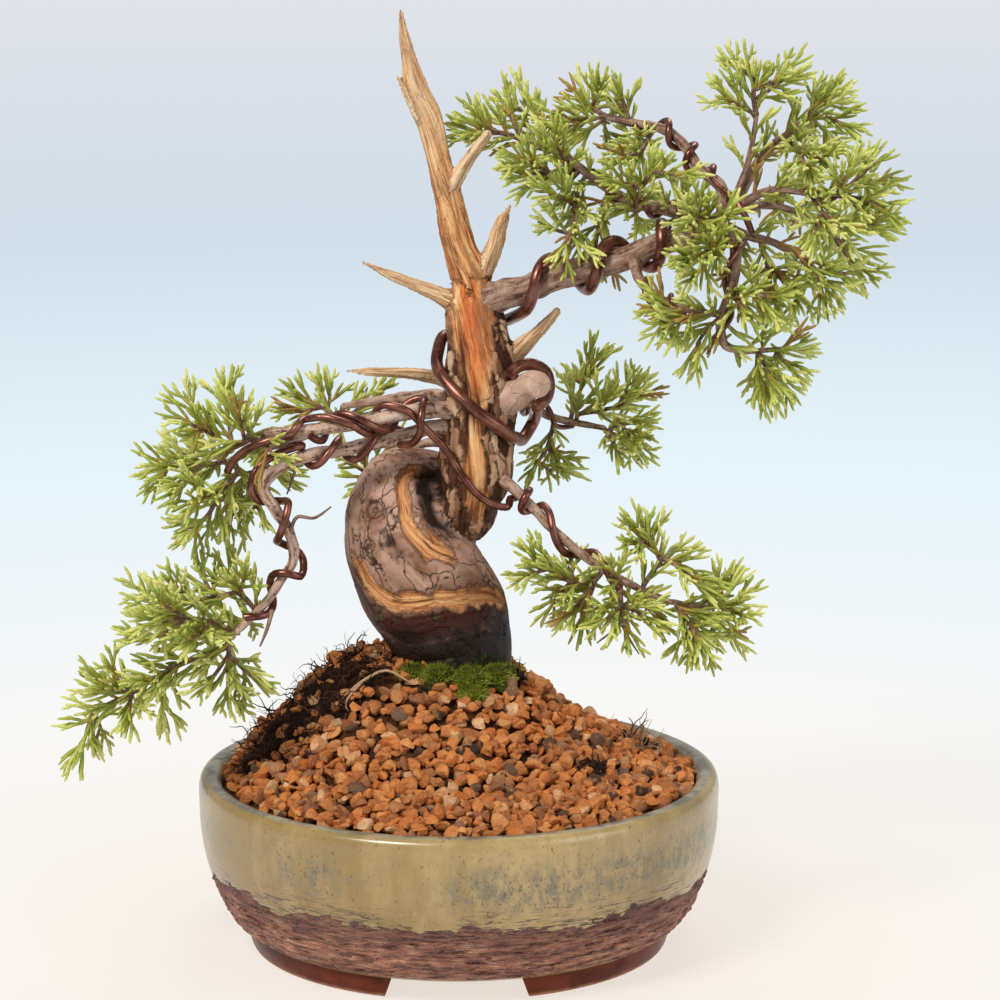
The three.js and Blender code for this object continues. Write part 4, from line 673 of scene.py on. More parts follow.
# %% Routes of the limbs
LIMBS = {
    "trunk": [
        (-2, 9, 44, 15), (-3, 8, 66, 19), (-4, 6, 84, 19.6), (-3, 6, 98, 18.8), (-6, 4, 108, 20.6),
        (-12, 1, 119, 20.9), (-18, -1, 131, 18.1), (-20, 1, 140, 15.9), (-18, 6, 148, 13.6), (-11, 14, 149, 10.8),
        (-4, 17, 144, 10.4), (1, 9, 140, 10), (3, 2, 146, 10.7), (5, 0, 155, 12.4), (6, 0, 166, 11.9),
        (7, 0, 177, 11.9), (7, 0, 189, 11.4), (6, 0, 199, 9.9), (5, 1, 209, 9), (4, 2, 218, 6.6),
    ],
    "spire": [
        (5, 1, 207, 6.4), (4, 2, 218, 6.2), (0, 3, 230, 5.1), (-3, 3, 245, 4.1), (-6, 3, 256, 3.4),
        (-9, 2, 269, 3.8), (-13, 1, 279, 3.4), (-16, 0, 292, 2), (-18, -1, 303, 0.9),
    ],
    "jin_fork": [(-2, 3, 247, 2.7), (4, 0, 257, 2.1), (10, -3, 265, 1.5)],
    "jin_shard": [(7, 3, 218, 3.6), (12, 2, 229, 3), (14, 1, 236, 2.1), (17, 0, 242, 0.4)],
    "jin_tip": [(-12, 2, 268, 1.6), (-16, 0, 276, 1.1), (-19, -1, 283, 0.5)],
    "jin_left": [(0, 0, 210, 3.8), (-9, -4, 215, 2.4), (-18, -8, 219, 1.8), (-30, -12, 225, 0.5)],
    "jin_lower": [
        (0, 2, 184, 3.6), (-7, 2, 186, 2.3), (-16, -5, 188.5, 1.8), (-26, -12, 190, 1.4), (-36, -16, 191, 0.4),
    ],
    "jin_right": [(12, 2, 188, 4.6), (20, 0, 196, 3.2), (26, -3, 202, 2), (32, -5, 209, 1.3)],
    "cut_stub": [(12, -2, 178, 5.6), (19, -8, 182, 4.8), (23, -13, 186, 4.6), (26, -19, 187, 4.2)],
    "crown": [
        (6, 1, 211, 5.8), (20, -4, 215, 4.5), (33, -7, 220, 4.1), (53, -9, 226, 3.9), (63, -8, 230, 3.7),
        (77, -5, 234, 3.2), (88, -2, 241, 2.2),
    ],
    "crown_arch": [
        (84, -2, 238, 2), (84, 2, 247, 1.9), (77, 9, 253, 1.8), (73, 14, 259, 1.6), (67, 18, 264, 1.6),
        (57, 21, 266, 1.4), (48, 22, 268, 1),
    ],
    "crown_left": [
        (79, -4, 234, 2.4), (73, 4, 238, 2), (65, 6, 240, 1.9), (56, 7, 242, 1.7), (47, 8, 247, 1.5),
        (36, 10, 255, 1.3), (29, 11, 259, 1.1), (20, 12, 262, 0.9),
    ],
    "crown_up": [(86, -3, 240, 1.3), (92, 2, 254, 1), (94, 4, 263, 0.8), (95, 5, 270, 0.7)],
    "crown_high": [(87, -2, 241, 2), (98, 10, 257, 1.5), (107, 16, 264, 1.1), (113, 19, 268, 0.8)],
    "crown_right": [(87, -2, 240, 1.7), (98, -7, 247, 1.2), (108, -11, 247, 0.9), (118, -13, 245, 0.8)],
    "crown_rear": [(87, 0, 240, 1.7), (100, 17, 240, 1.3), (113, 27, 236, 1), (123, 33, 232, 0.8)],
    "crown_low": [(82, -3, 237, 2), (92, 2, 232, 1.5), (101, 8, 229, 1.2), (110, 12, 224, 0.9)],
    "crown_front": [
        (82, -4, 237, 2.4), (87, -16, 233, 1.9), (86, -28, 221, 1.7), (82, -33, 208, 1.5), (84, -30, 201, 1.3),
        (91, -28, 199, 1),
    ],
    "crown_back": [(80, 0, 236, 2.2), (77, 18, 238, 1.6), (75, 32, 239, 1.3), (73, 44, 240, 0.9)],
    "crown_under": [
        (56, -8, 227, 2.4), (57, -17, 221, 1.6), (62, -24, 216, 1.4), (67, -28, 214, 1.2), (73, -31, 213, 0.9),
    ],
    "left_upper": [
        (2, -2, 176, 3.6), (-8, -8, 177, 2.6), (-18, -14, 177, 2.5), (-28, -18, 175, 2.3), (-39, -21, 174, 2.2),
        (-47, -23, 173, 2.1), (-55, -25, 173, 1.6), (-61, -26, 173, 1),
    ],
    "left_pad": [(-46, -23, 173, 1.9), (-54, -20, 169, 1.5), (-64, -18, 166, 1.3), (-73, -17, 162, 1)],
    "left_cascade": [
        (1, -2, 170, 3.4), (-8, -5, 171, 2.5), (-18, -8, 168.5, 2.4), (-27, -11, 167, 2.3), (-36, -15, 165.5, 2.2),
        (-45, -20, 165, 2.1), (-52, -24, 163.5, 2.1), (-58, -27, 160.5, 2), (-61, -29, 156, 2), (-58, -30, 150, 1.9),
        (-54, -30, 144, 1.8), (-52, -29, 138, 1.7), (-52, -28, 132, 1.5), (-56, -30, 126, 1.4), (-60, -32, 120, 1.3),
        (-66, -34, 114, 1.2), (-72, -36, 109, 1),
    ],
    "rear_left": [
        (0, 4, 179, 2.8), (-8, 16, 178, 2.1), (-16, 25, 176, 1.9), (-28, 35, 173, 1.6), (-39, 43, 170, 1.1),
    ],
    "rear_low": [(3, 6, 163, 2.2), (-7, 19, 162, 1.6), (-15, 29, 159, 1.4), (-29, 41, 152, 0.9)],
    "rear_right": [
        (11, 6, 177, 2.6), (20, 17, 175, 1.9), (25, 26, 172, 1.5), (31, 32, 168, 1.3), (48, 41, 163, 0.9),
    ],
    "lower_right": [
        (7, -2, 157, 3), (15, -8, 154, 2), (22, -11, 148, 1.6), (32, -15, 138, 1.5), (44, -19, 129, 1.4),
        (51, -20, 125, 1.3), (59, -21, 121, 1.1), (68, -20, 117, 0.9),
    ],
}
limbs = {name: Limb(points, UP if name in ("cut_stub", "crown_under") else FRONT) for name, points in LIMBS.items()}
limbs["crown_front"].zero = RIGHT
DEAD = [name for name in LIMBS if name.startswith(("spire", "jin"))]
STOUT = ["trunk", "cut_stub", *DEAD]

# %% Rough skin of trunk and deadwood
rough = Heap("limb", "at", "turn")


def muscles(at, turns, radius):
    """The trunk swells over its roots' veins and is hollow between them."""
    swell = 0.035 * np.cos(3 * turns + 0.5 * at) + 0.02 * np.cos(5 * turns - 0.9 * at + 1)
    return radius * (1.0 + swell) + 0.2


def splinters(at, turns, radius):
    """Torn wood has ridges along its grain and is never round."""
    ridges = 0.13 * np.cos(2 * turns + 0.7 * at) + 0.07 * np.cos(5 * turns + 1) + 0.05 * np.cos(9 * turns + at)
    return radius * (1 + ridges)


for index, name in enumerate(STOUT):
    limb = limbs[name]
    shape = muscles if name == "trunk" else splinters if name in DEAD else None
    sides = 72 if name == "trunk" else 40
    places = limb.places(1.2 if name == "trunk" else 0.9)
    if name == "cut_stub":
        places = np.append(places[:-1], [2.97])
    points, faces = swept(limb, places, sides, shape, tip=0.45 if name in DEAD else 0.25)
    ats = np.concatenate([[places[0]], np.repeat(places, sides), [places[-1]]])
    turns = np.concatenate([[0], np.tile(np.arange(sides) * 2 * math.pi / sides, len(places)), [0]])
    rough.add(points, faces, limb=index, at=ats, turn=turns)
trunk = rough.piece("trunk")
source = KDTree(rough.count)
for i, point in enumerate(np.vstack(rough.points)):
    source.insert(point, i)
source.balance()
tags = {key: np.concatenate(kept) for key, kept in rough.values.items()}
remesh = trunk.modifiers.new("one_skin", "REMESH")
remesh.mode, remesh.voxel_size = "VOXEL", 0.62 * MM
apply_all(trunk)
alone(trunk)
soften = trunk.modifiers.new("soften", "SMOOTH")
soften.iterations, soften.factor = 4, 0.5
apply_all(trunk)
skin = coordinates(trunk)
print("points of the skin", len(skin))

# %% [markdown]
# Every point of the new skin looks up the nearest point of the rough one, to learn
# where it lies on which limb. From that it gets a place in the grain: two numbers for
# the way round and one for the way along, which is what the bark and the wood follow.

# %% Places in the grain
nearest = np.array([source.find(Vector(point))[1] for point in skin])
limb_of = tags["limb"][nearest].astype(int)
at_of, turn_of = tags["at"][nearest], tags["turn"][nearest]
along = np.zeros(len(skin))
thick = np.zeros(len(skin))

for index, name in enumerate(STOUT):
    # Each point is set square against its limb's middle line, which the rings only sample.
    limb, mine = limbs[name], np.flatnonzero(limb_of == index)
    stops = np.linspace(0.01, limb.spans - 0.01, 60 * limb.spans)
    middles = np.array([limb.centre(at) for at in stops])
    frames = np.array([limb.frame(at) for at in stops])
    speed = np.linalg.norm(np.gradient(middles, stops, axis=0), axis=1)
    places = at_of[mine].copy()
    for _ in range(3):
        k = np.clip(np.round((places - stops[0]) / (stops[1] - stops[0])).astype(int), 0, len(stops) - 1)
        ahead = np.einsum("ij,ij->i", skin[mine] - middles[k], frames[k, 0]) / speed[k]
        places = np.clip(places + np.clip(ahead + stops[k] - places, -0.12, 0.12), 0, limb.spans)
    offset = skin[mine] - middles[k]
    at_of[mine] = places
    turn_of[mine] = np.arctan2(
        np.einsum("ij,ij->i", offset, frames[k, 2]), np.einsum("ij,ij->i", offset, frames[k, 1])
    )
for index, name in enumerate(STOUT):
    limb, mine = limbs[name], limb_of == index
    along[mine] = limb.run(at_of[mine]) + 40 * index
    thick[mine] = np.interp(at_of[mine], np.arange(limb.spans + 1), limb.points[:, 3])
twist = turn_of + along / 60
grain = np.stack([np.cos(twist) * (thick + 2), np.sin(twist) * (thick + 2), along], 1)
is_trunk = limb_of == 0

# %% [markdown]
# The carved features are strokes along the trunk, each a run of places with a half
# width. A point belongs to a stroke as far as it is near it, and a little noise frays
# the stroke's edge.

# %% Strokes
fray = noises(grain * [1, 1, 0.35], 4.0, 3, seed=6)
torn = noises(grain * [1, 1, 0.5], 1.5, 2, seed=7)


def stroke(*stations, soft=0.55, ragged=1.5, own_grain=False):
    """stations: place, angle and half width along the trunk; gives 0 to 1 for each point."""
    line = []
    for start, end in zip(np.array(stations), np.array(stations)[1:]):
        for t in np.arange(24) / 24:
            at, turn, wide = start + (end - start) * t
            place = limbs["trunk"].beside(at, turn)
            line.append((*place, *unit(place - limbs["trunk"].centre(at)), wide))
    line = np.array(line)
    tree = KDTree(len(line))
    for i, place in enumerate(line[:, :3]):
        tree.insert(place, i)
    tree.balance()
    k = np.array([tree.find(Vector(point))[1] for point in skin])
    offset = skin - line[k, :3]
    mask = smooth(soft, -soft, np.linalg.norm(offset, axis=1) - line[k, 6] + ragged * (fray + 0.35 * torn))
    if own_grain:
        ways = np.gradient(line[:, :3], axis=0)
        steps = np.linalg.norm(ways, axis=1)
        ways /= steps[:, None]
        onward = np.cumsum(steps)[k] + np.einsum("ij,ij->i", offset, ways[k])
        across = np.einsum("ij,ij->i", offset, np.cross(line[k, 3:6], ways[k]))
        mine = mask > 0.02
        grain[mine] = np.stack([across, across * 0, onward], 1)[mine]
    return mask


red_band = stroke(
    *((3.5, 62, 4.0), (4.0, 48, 5.0), (4.4, 8, 5.6), (4.65, -20, 5.2), (5.1, -52, 4.6), (5.8, -72, 2.8)),
    soft=1.6, own_grain=True,
)
lower_band = stroke(
    *((3.6, 88, 2.0), (4.1, 65, 2.8), (4.6, 35, 3.2), (5.0, 10, 3.5), (5.4, -25, 3.6), (5.8, -48, 2.8), (6.3, -58, 1.4)),
    ragged=2.4, own_grain=True,
)
upper_lobe = stroke(
    *((8.3, -16, 1.5), (7.8, -10, 2.2), (7.2, 9, 2.0), (6.45, 22, 2.6), (5.95, 33, 3.4), (5.6, 45, 1.8)),
    ragged=2.4, own_grain=True,
)
column = stroke(
    *((12.1, 25, 2.0), (12.5, 10, 4.0), (13.3, -3, 4.2), (14.2, -8, 3.6), (15.1, -8, 3.4)),
    *((15.9, -8, 4.8), (17.0, -7, 7.2), (18.0, -10, 8.2), (18.95, -8, 9.4)),
)
crevice = stroke((8.6, -30, 2.0), (8.2, -8, 3.0), (7.6, 38, 3.4), (6.6, 52, 3.0), (5.9, 66, 2.4), soft=2.2)
back_band = stroke((9.2, 150, 2.0), (7.0, 170, 5.0), (5.2, 185, 6.0), (3.2, 200, 5.0), (2.0, 215, 3.0))
back_column = stroke((12.6, 170, 2.0), (14.5, 175, 5.0), (16.6, 185, 6.0), (18.9, 180, 8.0))
fissure = stroke(
    *((17.2, -34, 0.3), (16.0, -27, 0.9), (15.0, -25, 1.1), (14.1, -21, 1.8), (13.3, -15, 1.2), (12.4, -2, 0.8)),
    soft=0.8, ragged=1.0,
)
heart = stroke((14.9, -8, 0.8), (15.9, -8, 2.2), (17.0, -6, 3.8), (18.0, -10, 3.8), (18.95, -12, 3.0), soft=1.4) * is_trunk
dead = np.maximum.reduce([lower_band, upper_lobe, column, back_band, back_column])
dead = np.where(is_trunk, dead, [name != "cut_stub" for name in np.array(STOUT)[limb_of]]).astype(float)
top_of_trunk = smooth(18.2, 18.9, at_of) * is_trunk
dead = np.maximum(dead, top_of_trunk)
wet = smooth(112, 103, skin[:, 2] + 5 * fray - 0.12 * skin[:, 0]) * is_trunk
is_stub = limb_of == STOUT.index("cut_stub")
print("deadwood", round(float(dead.mean()), 2), "of the skin")

# %% [markdown]
# Now the skin is carved. Deadwood is sunk below the bark and ridged along its grain.
# The bark breaks into plates: large smooth ones with thin cracks on the lower lobe, and
# long thin flakes higher up, each plate standing a little higher or lower.


# %% Carving
def plates(where, width):
    """For each point: closeness to a crack between plates, and its plate's own number."""
    crack, plate = np.empty(len(where)), np.empty(len(where))
    for i, point in enumerate(where):
        distances, centres = noise.voronoi(Vector(point))
        crack[i] = distances[1] - distances[0]
        plate[i] = noise.cell(centres[0] * 7.3)
    return smooth(width, 0.0, crack), plate


warp = np.stack([noises(grain, 6, 3, seed=s) for s in (11, 12, 13)], 1)
crack_low, plate_low = plates(grain * [1, 1, 0.8] / 11 + 0.3 * warp, 0.05)
crack_low *= smooth(-0.22, 0.12, noises(grain, 9, 2, seed=14))
crack_high, plate_high = plates(grain * [1, 1, 0.45] / 3.1 + 0.3 * warp, 0.09)
flaky = smooth(9.2, 12.4, at_of) * is_trunk
crack = (1 - flaky) * crack_low + flaky * crack_high
plate = (1 - flaky) * plate_low + flaky * plate_high
fibres = noises(grain * [1, 1, 0.07], 1.25, 3, seed=21)
knots = noises(grain, 5.5, 2, seed=22)
crack *= ~is_stub
live = (1 - dead) * np.where(is_stub, 0.2, 1)
push = live * (-(0.55 + 0.1 * flaky) * crack + (0.07 + 0.5 * flaky) * (plate - 0.5) + 0.28 * knots + 0.2)
knot = np.zeros(len(skin))
swelling = 0
for at, turn, size in ((7.0, -24, 4.6), (6.35, -30, 3.6)):
    away = np.linalg.norm(skin - limbs["trunk"].beside(at, turn), axis=1) / size + 0.08 * fray
    rings = smooth(1.05, 0.8, away) * (0.5 - 0.5 * np.cos(away * 5 * math.pi))
    knot = np.maximum(knot, rings * (1 - dead))
    swelling = swelling + 0.9 * np.exp(-(((away - 0.85) / 0.25) ** 2)) - 0.6 * np.exp(-((away / 0.3) ** 2))
push += live * swelling - 0.35 * knot
push += dead * (np.where(is_trunk, -1.0, 0.0) + 0.5 * fibres + 0.15 * knots)
rim = 4 * dead * (1 - dead) * is_trunk
push += 0.5 * rim * (0.6 + fray) - 0.9 * fissure * is_trunk - 1.9 * crevice * is_trunk - red_band * is_trunk * (0.35 + 0.3 * fibres)
normals = np.empty(len(skin) * 3)
trunk.data.vertices.foreach_get("normal", normals)
put(trunk, skin + normals.reshape(-1, 3) * np.clip(push, -3.0, 0.7)[:, None])
# The hollow is painted near black in the finish: painted shade in the carved crevice.
for key, values in {
    **{"dead": dead, "crack": crack, "plate": plate, "flaky": flaky, "wet": wet},
    **{"red": red_band * is_trunk * (1 - dead), "hollow": crevice * is_trunk, "rim": rim},
    **{"heart": heart, "fissure": fissure * is_trunk, "knot": knot, "stub": is_stub, "grain": grain * MM},
    "pale": 0.8 * smooth(235, 275, skin[:, 2]) + np.isin(limb_of, [STOUT.index(n) for n in DEAD if n != "spire"]),
}.items():
    paint(trunk, key, values)

# %% [markdown]
# Young branches are too thin for plates: their bark is a smooth pinkish brown skin
# with short flakes and the swollen scars of twigs. They are swept finely and joined in
# one piece, each starting inside the limb that carries it.

# %% Branches
branches = Heap("grain", "pale")
for index, (name, limb) in enumerate(limbs.items()):
    if name in STOUT:
        continue
    places = limb.places(0.9)

    def knobbly(at, turns, radius, phase=index * 1.7):
        place = limb.centre(at)
        lumps = [noise.noise(Vector(place) / 3.5 + Vector((math.cos(t), math.sin(t), phase)) * 0.6) for t in turns]
        return radius * (1.0 + 0.16 * np.array(lumps)) + 0.05

    points, faces = swept(limb, places, 12, knobbly, tip=0.5)
    light = 1.0 if name.startswith("left") else 0.25 if name.startswith("crown") else 0.5
    branches.add(points, faces, grain=(limb.grain(places, 12) + [0, 0, 70 * index]) * MM, pale=light)
branches = branches.piece("branches")

# %% [markdown]
# ## Bark and wood
# One finish serves the whole tree: it reads what the carving left on each point. Bark
# is grey and pinkish brown, painted near black in its cracks and darker along flaky
# edges as painted shade, and higher up it has pale patches that are a painted
# highlight; deadwood is pale orange with darker streaks along the grain and painted
# shade in its fissures; the carved hollow is painted black as shade; the foot is dark
# and damp.

# %% Bark and wood finish
bark = Finish("bark_and_deadwood", roughness=0.75, specular_ior_level=0.2)
flow = bark.attribute("grain", "Vector")
tone = bark.noise(bark.stretched(flow, (1, 1, 0.5)), 0.006, 5, 0.6)
speckle = bark.noise(bark.stretched(flow, (1, 1, 0.35)), 0.0011, 4, 0.65)
plate_tone = bark.attribute("plate")
flakes = bark.attribute("flaky")
smooth_bark = bark.ramp(
    0.92 * tone + 0.08 * plate_tone,
    (0.28, (0.105, 0.042, 0.026)),
    (0.42, (0.215, 0.096, 0.058)),
    (0.55, (0.335, 0.172, 0.112)),
    (0.70, (0.540, 0.345, 0.250)),
)
flaky_bark = bark.ramp(
    0.65 * tone + 0.35 * plate_tone,
    (0.28, (0.075, 0.029, 0.014)),
    (0.42, (0.220, 0.098, 0.048)),
    (0.54, (0.400, 0.205, 0.110)),
    (0.70, (0.600, 0.400, 0.250)),
)
# Painted highlight: pale patches on the bark, stronger higher up the trunk, stand in for light on the upper lobe.
patchy = bark.step(bark.noise(bark.place, 0.016, 3, 0.6), 0.40, 0.56)
patchy = patchy * bark.step(bark.height(bark.place), 0.112, 0.140, 0.15, 1.0)
smooth_bark = bark.blend(0.55 * patchy, smooth_bark, (0.66, 0.43, 0.33))
skin_tone = bark.blend(flakes, smooth_bark, flaky_bark)
skin_tone = bark.blend(0.45 * bark.step(speckle, 0.55, 0.75), skin_tone, (0.075, 0.038, 0.026))
vein = bark.cells(bark.warped(bark.stretched(flow, (1, 1, 0.7)), 0.006, 0.005), 0.0085, "DISTANCE_TO_EDGE")
vein = bark.step(vein, 0.028, 0.008) * bark.step(tone, 0.40, 0.52)
skin_tone = bark.blend(0.8 * vein, skin_tone, (0.030, 0.015, 0.011))
# Painted shade: the cracks between plates are painted near black, fully on smooth bark and half on flaky bark.
skin_tone = bark.blend(bark.step(flakes, 0, 1, 0.95, 0.5) * bark.attribute("crack"), skin_tone, (0.020, 0.010, 0.008))
skin_tone = bark.blend(0.85 * bark.attribute("knot"), skin_tone, (0.060, 0.024, 0.016))
skin_tone = bark.blend(0.85 * bark.attribute("stub"), skin_tone, bark.blend(tone, (0.38, 0.20, 0.14), (0.82, 0.59, 0.46)))
fine = bark.noise(bark.stretched(flow, (1, 1, 0.035)), 0.0010, 4, 0.55)
skin_tone = bark.blend(0.95 * bark.attribute("red"), skin_tone, bark.blend(fine, (0.008, 0.003, 0.002), (0.085, 0.016, 0.008)))
broad = bark.noise(bark.stretched(flow, (1, 1, 0.07)), 0.0032, 4, 0.6)
wood = bark.ramp(
    0.4 * fine + 0.6 * broad,
    (0.34, (0.090, 0.026, 0.010)),
    (0.42, (0.360, 0.115, 0.036)),
    (0.49, (0.660, 0.300, 0.115)),
    (0.57, (0.800, 0.470, 0.210)),
    (0.70, (0.900, 0.680, 0.400)),
)
core = bark.ramp(0.6 * fine + 0.4 * broad, (0.36, (0.30, 0.055, 0.014)), (0.50, (0.60, 0.15, 0.035)), (0.62, (0.74, 0.28, 0.085)))
wood = bark.blend(0.85 * bark.attribute("heart"), wood, core)
patina = bark.noise(bark.stretched(flow, (1, 1, 0.3)), 0.0065, 4, 0.65)
wood = bark.blend(0.7 * bark.step(patina, 0.46, 0.64), wood, (0.280, 0.098, 0.036))
split = bark.make("ShaderNodeMath", {"operation": "ABSOLUTE"}, {0: bark.noise(bark.stretched(flow, (1, 1, 0.05)), 0.0040, 3, 0.5) - 0.5})
split = bark.step(split, 0.016, 0.004) * bark.step(patina, 0.42, 0.5)
wood = bark.blend(0.75 * split, wood, (0.085, 0.028, 0.012))
# Painted shade: the carved fissure is painted near black.
wood = bark.blend(0.9 * bark.attribute("fissure"), wood, (0.040, 0.014, 0.008))
pale_wood = bark.ramp(fine, (0.34, (0.36, 0.17, 0.075)), (0.46, (0.66, 0.42, 0.22)), (0.60, (0.84, 0.63, 0.40)))
wood = bark.blend(0.75 * bark.attribute("pale"), wood, pale_wood)
tree_tone = bark.blend(bark.attribute("dead"), skin_tone, wood)
tree_tone = bark.blend(0.45 * bark.attribute("rim"), tree_tone, (0.12, 0.05, 0.025))
damp = bark.attribute("wet")
tree_tone = bark.blend(0.96 * damp, tree_tone, bark.blend(speckle, (0.003, 0.002, 0.002), (0.034, 0.018, 0.012)))
# Painted shade: the carved hollow is painted near black.
tree_tone = bark.blend(0.96 * bark.attribute("hollow"), tree_tone, (0.010, 0.004, 0.003))
moss_spots = bark.noise(bark.place, 0.009, 4, 0.65)
moss_mask = bark.step(moss_spots + 0.08 * damp + 0.14 * bark.attribute("crack"), 0.66, 0.74)
tree_tone = bark.blend(0.7 * moss_mask * (1 - bark.attribute("dead")), tree_tone, (0.055, 0.085, 0.018))
bark.feed(
    base_color=tree_tone,
    roughness=bark.step(damp + bark.attribute("red"), 0.2, 1.0, 0.72, 0.5),
    normal=bark.relief(0.8 * speckle + 0.4 * fine * bark.attribute("dead") + 0.3 * tone - 0.5 * vein, 0.0006, 0.9),
)
dress(trunk, bark.material, "bark", "tree", angle=60)

# %% Twig bark finish
young = Finish("young_bark", roughness=0.65, specular_ior_level=0.25)
lie = young.attribute("grain", "Vector")
streak = young.noise(young.stretched(lie, (1, 1, 0.3)), 0.0024, 5, 0.65)
ringed = young.noise(young.stretched(lie, (0.5, 0.5, 1.4)), 0.0016, 3, 0.6)
young_tone = young.ramp(
    0.75 * streak + 0.25 * ringed,
    (0.34, (0.070, 0.031, 0.020)),
    (0.45, (0.170, 0.084, 0.056)),
    (0.55, (0.290, 0.165, 0.115)),
    (0.68, (0.480, 0.340, 0.255)),
)
peeled = young.ramp(streak, (0.36, (0.26, 0.135, 0.09)), (0.48, (0.47, 0.30, 0.215)), (0.62, (0.66, 0.49, 0.385)))
young_tone = young.blend(young.attribute("pale") * young.step(ringed + streak, 0.80, 1.00), young_tone, peeled)
young.feed(base_color=young_tone, normal=young.relief(streak + 0.6 * ringed, 0.0006, 0.9))
dress(branches, young.material, "bark", "tree", angle=60)

# %% [markdown]
# ## Training wire
# Anodised aluminium wire holds the branches in their bends. It is wound in long turns,
# crosses from one limb to the next, and is cut off square with pliers. Each wire
# follows the same stations beside its limb as its solid, with many more, finer rings.

# %% Wires
THICK, MIDDLE_WIRE, ARCH, THIN, OFF_BARK, FLUTES = 2.0, 1.25, 1.1, 0.9, 0.6, 0.05


def wound(name, radius, *stations):
    """stations: place and angle on the limb, and how loosely the wire lies there."""
    limb = limbs[name]
    flutes = FLUTES if name == "trunk" else 0.0
    runs = [(*station, 0.0)[:3] for station in stations]
    points = []
    for (at0, turn0, loose0), (at1, turn1, loose1) in zip(runs, runs[1:]):
        count = max(1, math.ceil(abs(turn1 - turn0) / 24))
        for t in np.arange(count) / count:
            out = radius + OFF_BARK - 0.3 + loose0 + (loose1 - loose0) * t
            points.append(limb.beside(at0 + (at1 - at0) * t, turn0 + (turn1 - turn0) * t, out, flutes))
    at, turn, loose = runs[-1]
    points.append(limb.beside(at, turn, radius + OFF_BARK - 0.3 + loose, flutes))
    return points


WIRES = {
    "wire_trunk_crown": (THICK, [
        *wound("cut_stub", THICK, (1.8, 50), (2.1, -60), (1.9, -165)),
        *((25, -5, 176), (24, 1, 171.5)),
        *wound("trunk", THICK, (14.2, 75), (14.4, 44), (15, 0), (16, -60), (17.1, -120), (17.5, -245)),
        *wound("crown", THICK, (1.05, 60), (1.45, 0), (1.85, -90), (2.1, -180), (2.4, -300), (2.55, -350),
               (2.75, -430), (3.2, -540), (3.8, -660), (4.05, -720), (4.3, -850), (4.7, -960)),
    ]),
    "wire_cross": (MIDDLE_WIRE, [
        *((-72.6, -25, 160), (-71, -26, 163.3), (-66.5, -28.5, 167.8), (-60.5, -30.5, 170.6), (-56.5, -30, 171.8)),
        *wound("left_upper", MIDDLE_WIRE, (5.7, 0), (5.2, 90), (4.5, 90), (3.5, 0), (2.95, -90), (2.75, -180),
               (2.5, -270), (1.85, -360)),
        *((-9, -15, 171), (-5, -15, 167)),
        *wound("trunk", MIDDLE_WIRE, (13.4, -25), (12.8, 5)),
        *((11, -13.5, 147.5), (16, -12.5, 146.5)),
        *wound("lower_right", MIDDLE_WIRE, (1.55, 100), (1.75, 200), (1.9, 330), (2.1, 450), (2.3, 600),
               (2.8, 700), (3.3, 790), (3.6, 900), (3.9, 1000), (5.2, 1150)),
    ]),
    "wire_left_upper": (MIDDLE_WIRE, [
        *wound("left_upper", MIDDLE_WIRE, (5, -20), (4.5, -90), (3.75, -270), (3.1, -360), (2.4, -450), (1.3, -630)),
        *((-11, -15.5, 180.6), (-11.5, -19.5, 177), (-11.9, -19.5, 171.7), (-14.4, -17.5, 168), (-18.5, -14, 167)),
    ]),
    "wire_left_cascade": (MIDDLE_WIRE, [
        *wound("left_cascade", MIDDLE_WIRE, (1.8, 170), (2.55, 90), (3.25, 0), (3.8, -90), (3.95, -180),
               (4.15, -270), (4.75, -360), (5.2, -450), (5.3, -540), (5.45, -630), (6.4, -630, 0.4), (7.4, -630, 0.8)),
        *wound("left_cascade", MIDDLE_WIRE, (8, 90, 0.3), (8.5, 120), (9, 220, 0.6), (9.3, 290, 1.6),
               (9.9, 370, 0.6), (10.6, 440, 1.4), (11.3, 500, 0.4), (12, 610, 0.6), (12.4, 660, 1.8),
               (12.7, 730, 0.8), (13.1, 820), (14, 960), (15, 1120)),
    ]),
    "wire_arch": (ARCH, [
        *((93, -10, 234), (91, -10, 239), (88, -7, 244)),
        *wound("crown_arch", ARCH, (1.3, 0), (5, 1080)),
    ]),
    "wire_crown_left": (THIN, wound("crown_left", THIN, (1.2, 0), (5.6, 1170))),
    "wire_crown_under": (THIN, wound("crown_under", THIN, (1.4, 0), (3.7, 560))),
    "wire_crown_front": (THIN, wound("crown_front", THIN, (1.1, 0), (3.8, 600))),
    "wire_rear_right": (THIN, wound("rear_right", THIN, (1, 0), (3.5, 500))),
}
copper = Finish("anodised_wire", metallic=0.75, roughness=0.3, coat_weight=0.25, coat_roughness=0.15)
stain = copper.noise(copper.place, 0.006, 4, 0.6)
wire_tone = copper.blend(copper.step(stain, 0.35, 0.65), (0.110, 0.030, 0.019), (0.27, 0.100, 0.066))
rub = copper.noise(copper.place, 0.0007, 3, 0.6)
copper.feed(
    base_color=copper.blend(0.5 * copper.step(rub, 0.68, 0.76), wire_tone, (0.42, 0.24, 0.17)),
    roughness=copper.step(stain, 0.3, 0.7, 0.22, 0.42),
    normal=copper.relief(rub, 0.0001, 0.4),
)
for name, (radius, points) in WIRES.items():
    run = Limb([(*p, radius) for p in points], UP)
    sides = 16 if radius == THICK else 12
    wire = Heap()
    wire.add(*swept(run, run.places(1.3), sides, tip=0.12))
    dress(wire.piece(name.replace("wire", "training_wire")), copper.material, "wire", name, angle=50)

# %% [markdown]
# ## Foliage
# Juniper foliage is not made of flat leaves: tiny scales cover every shoot, so a shoot
# looks like a knotted green cord that forks again and again in a loose fan. One cord
# is modelled by hand, from a ring of four corners drawn up, turned and swollen at each
# pair of scales and closed at its tip. Fans of bent cords are made from it, and the
# fans are copied along every twig.

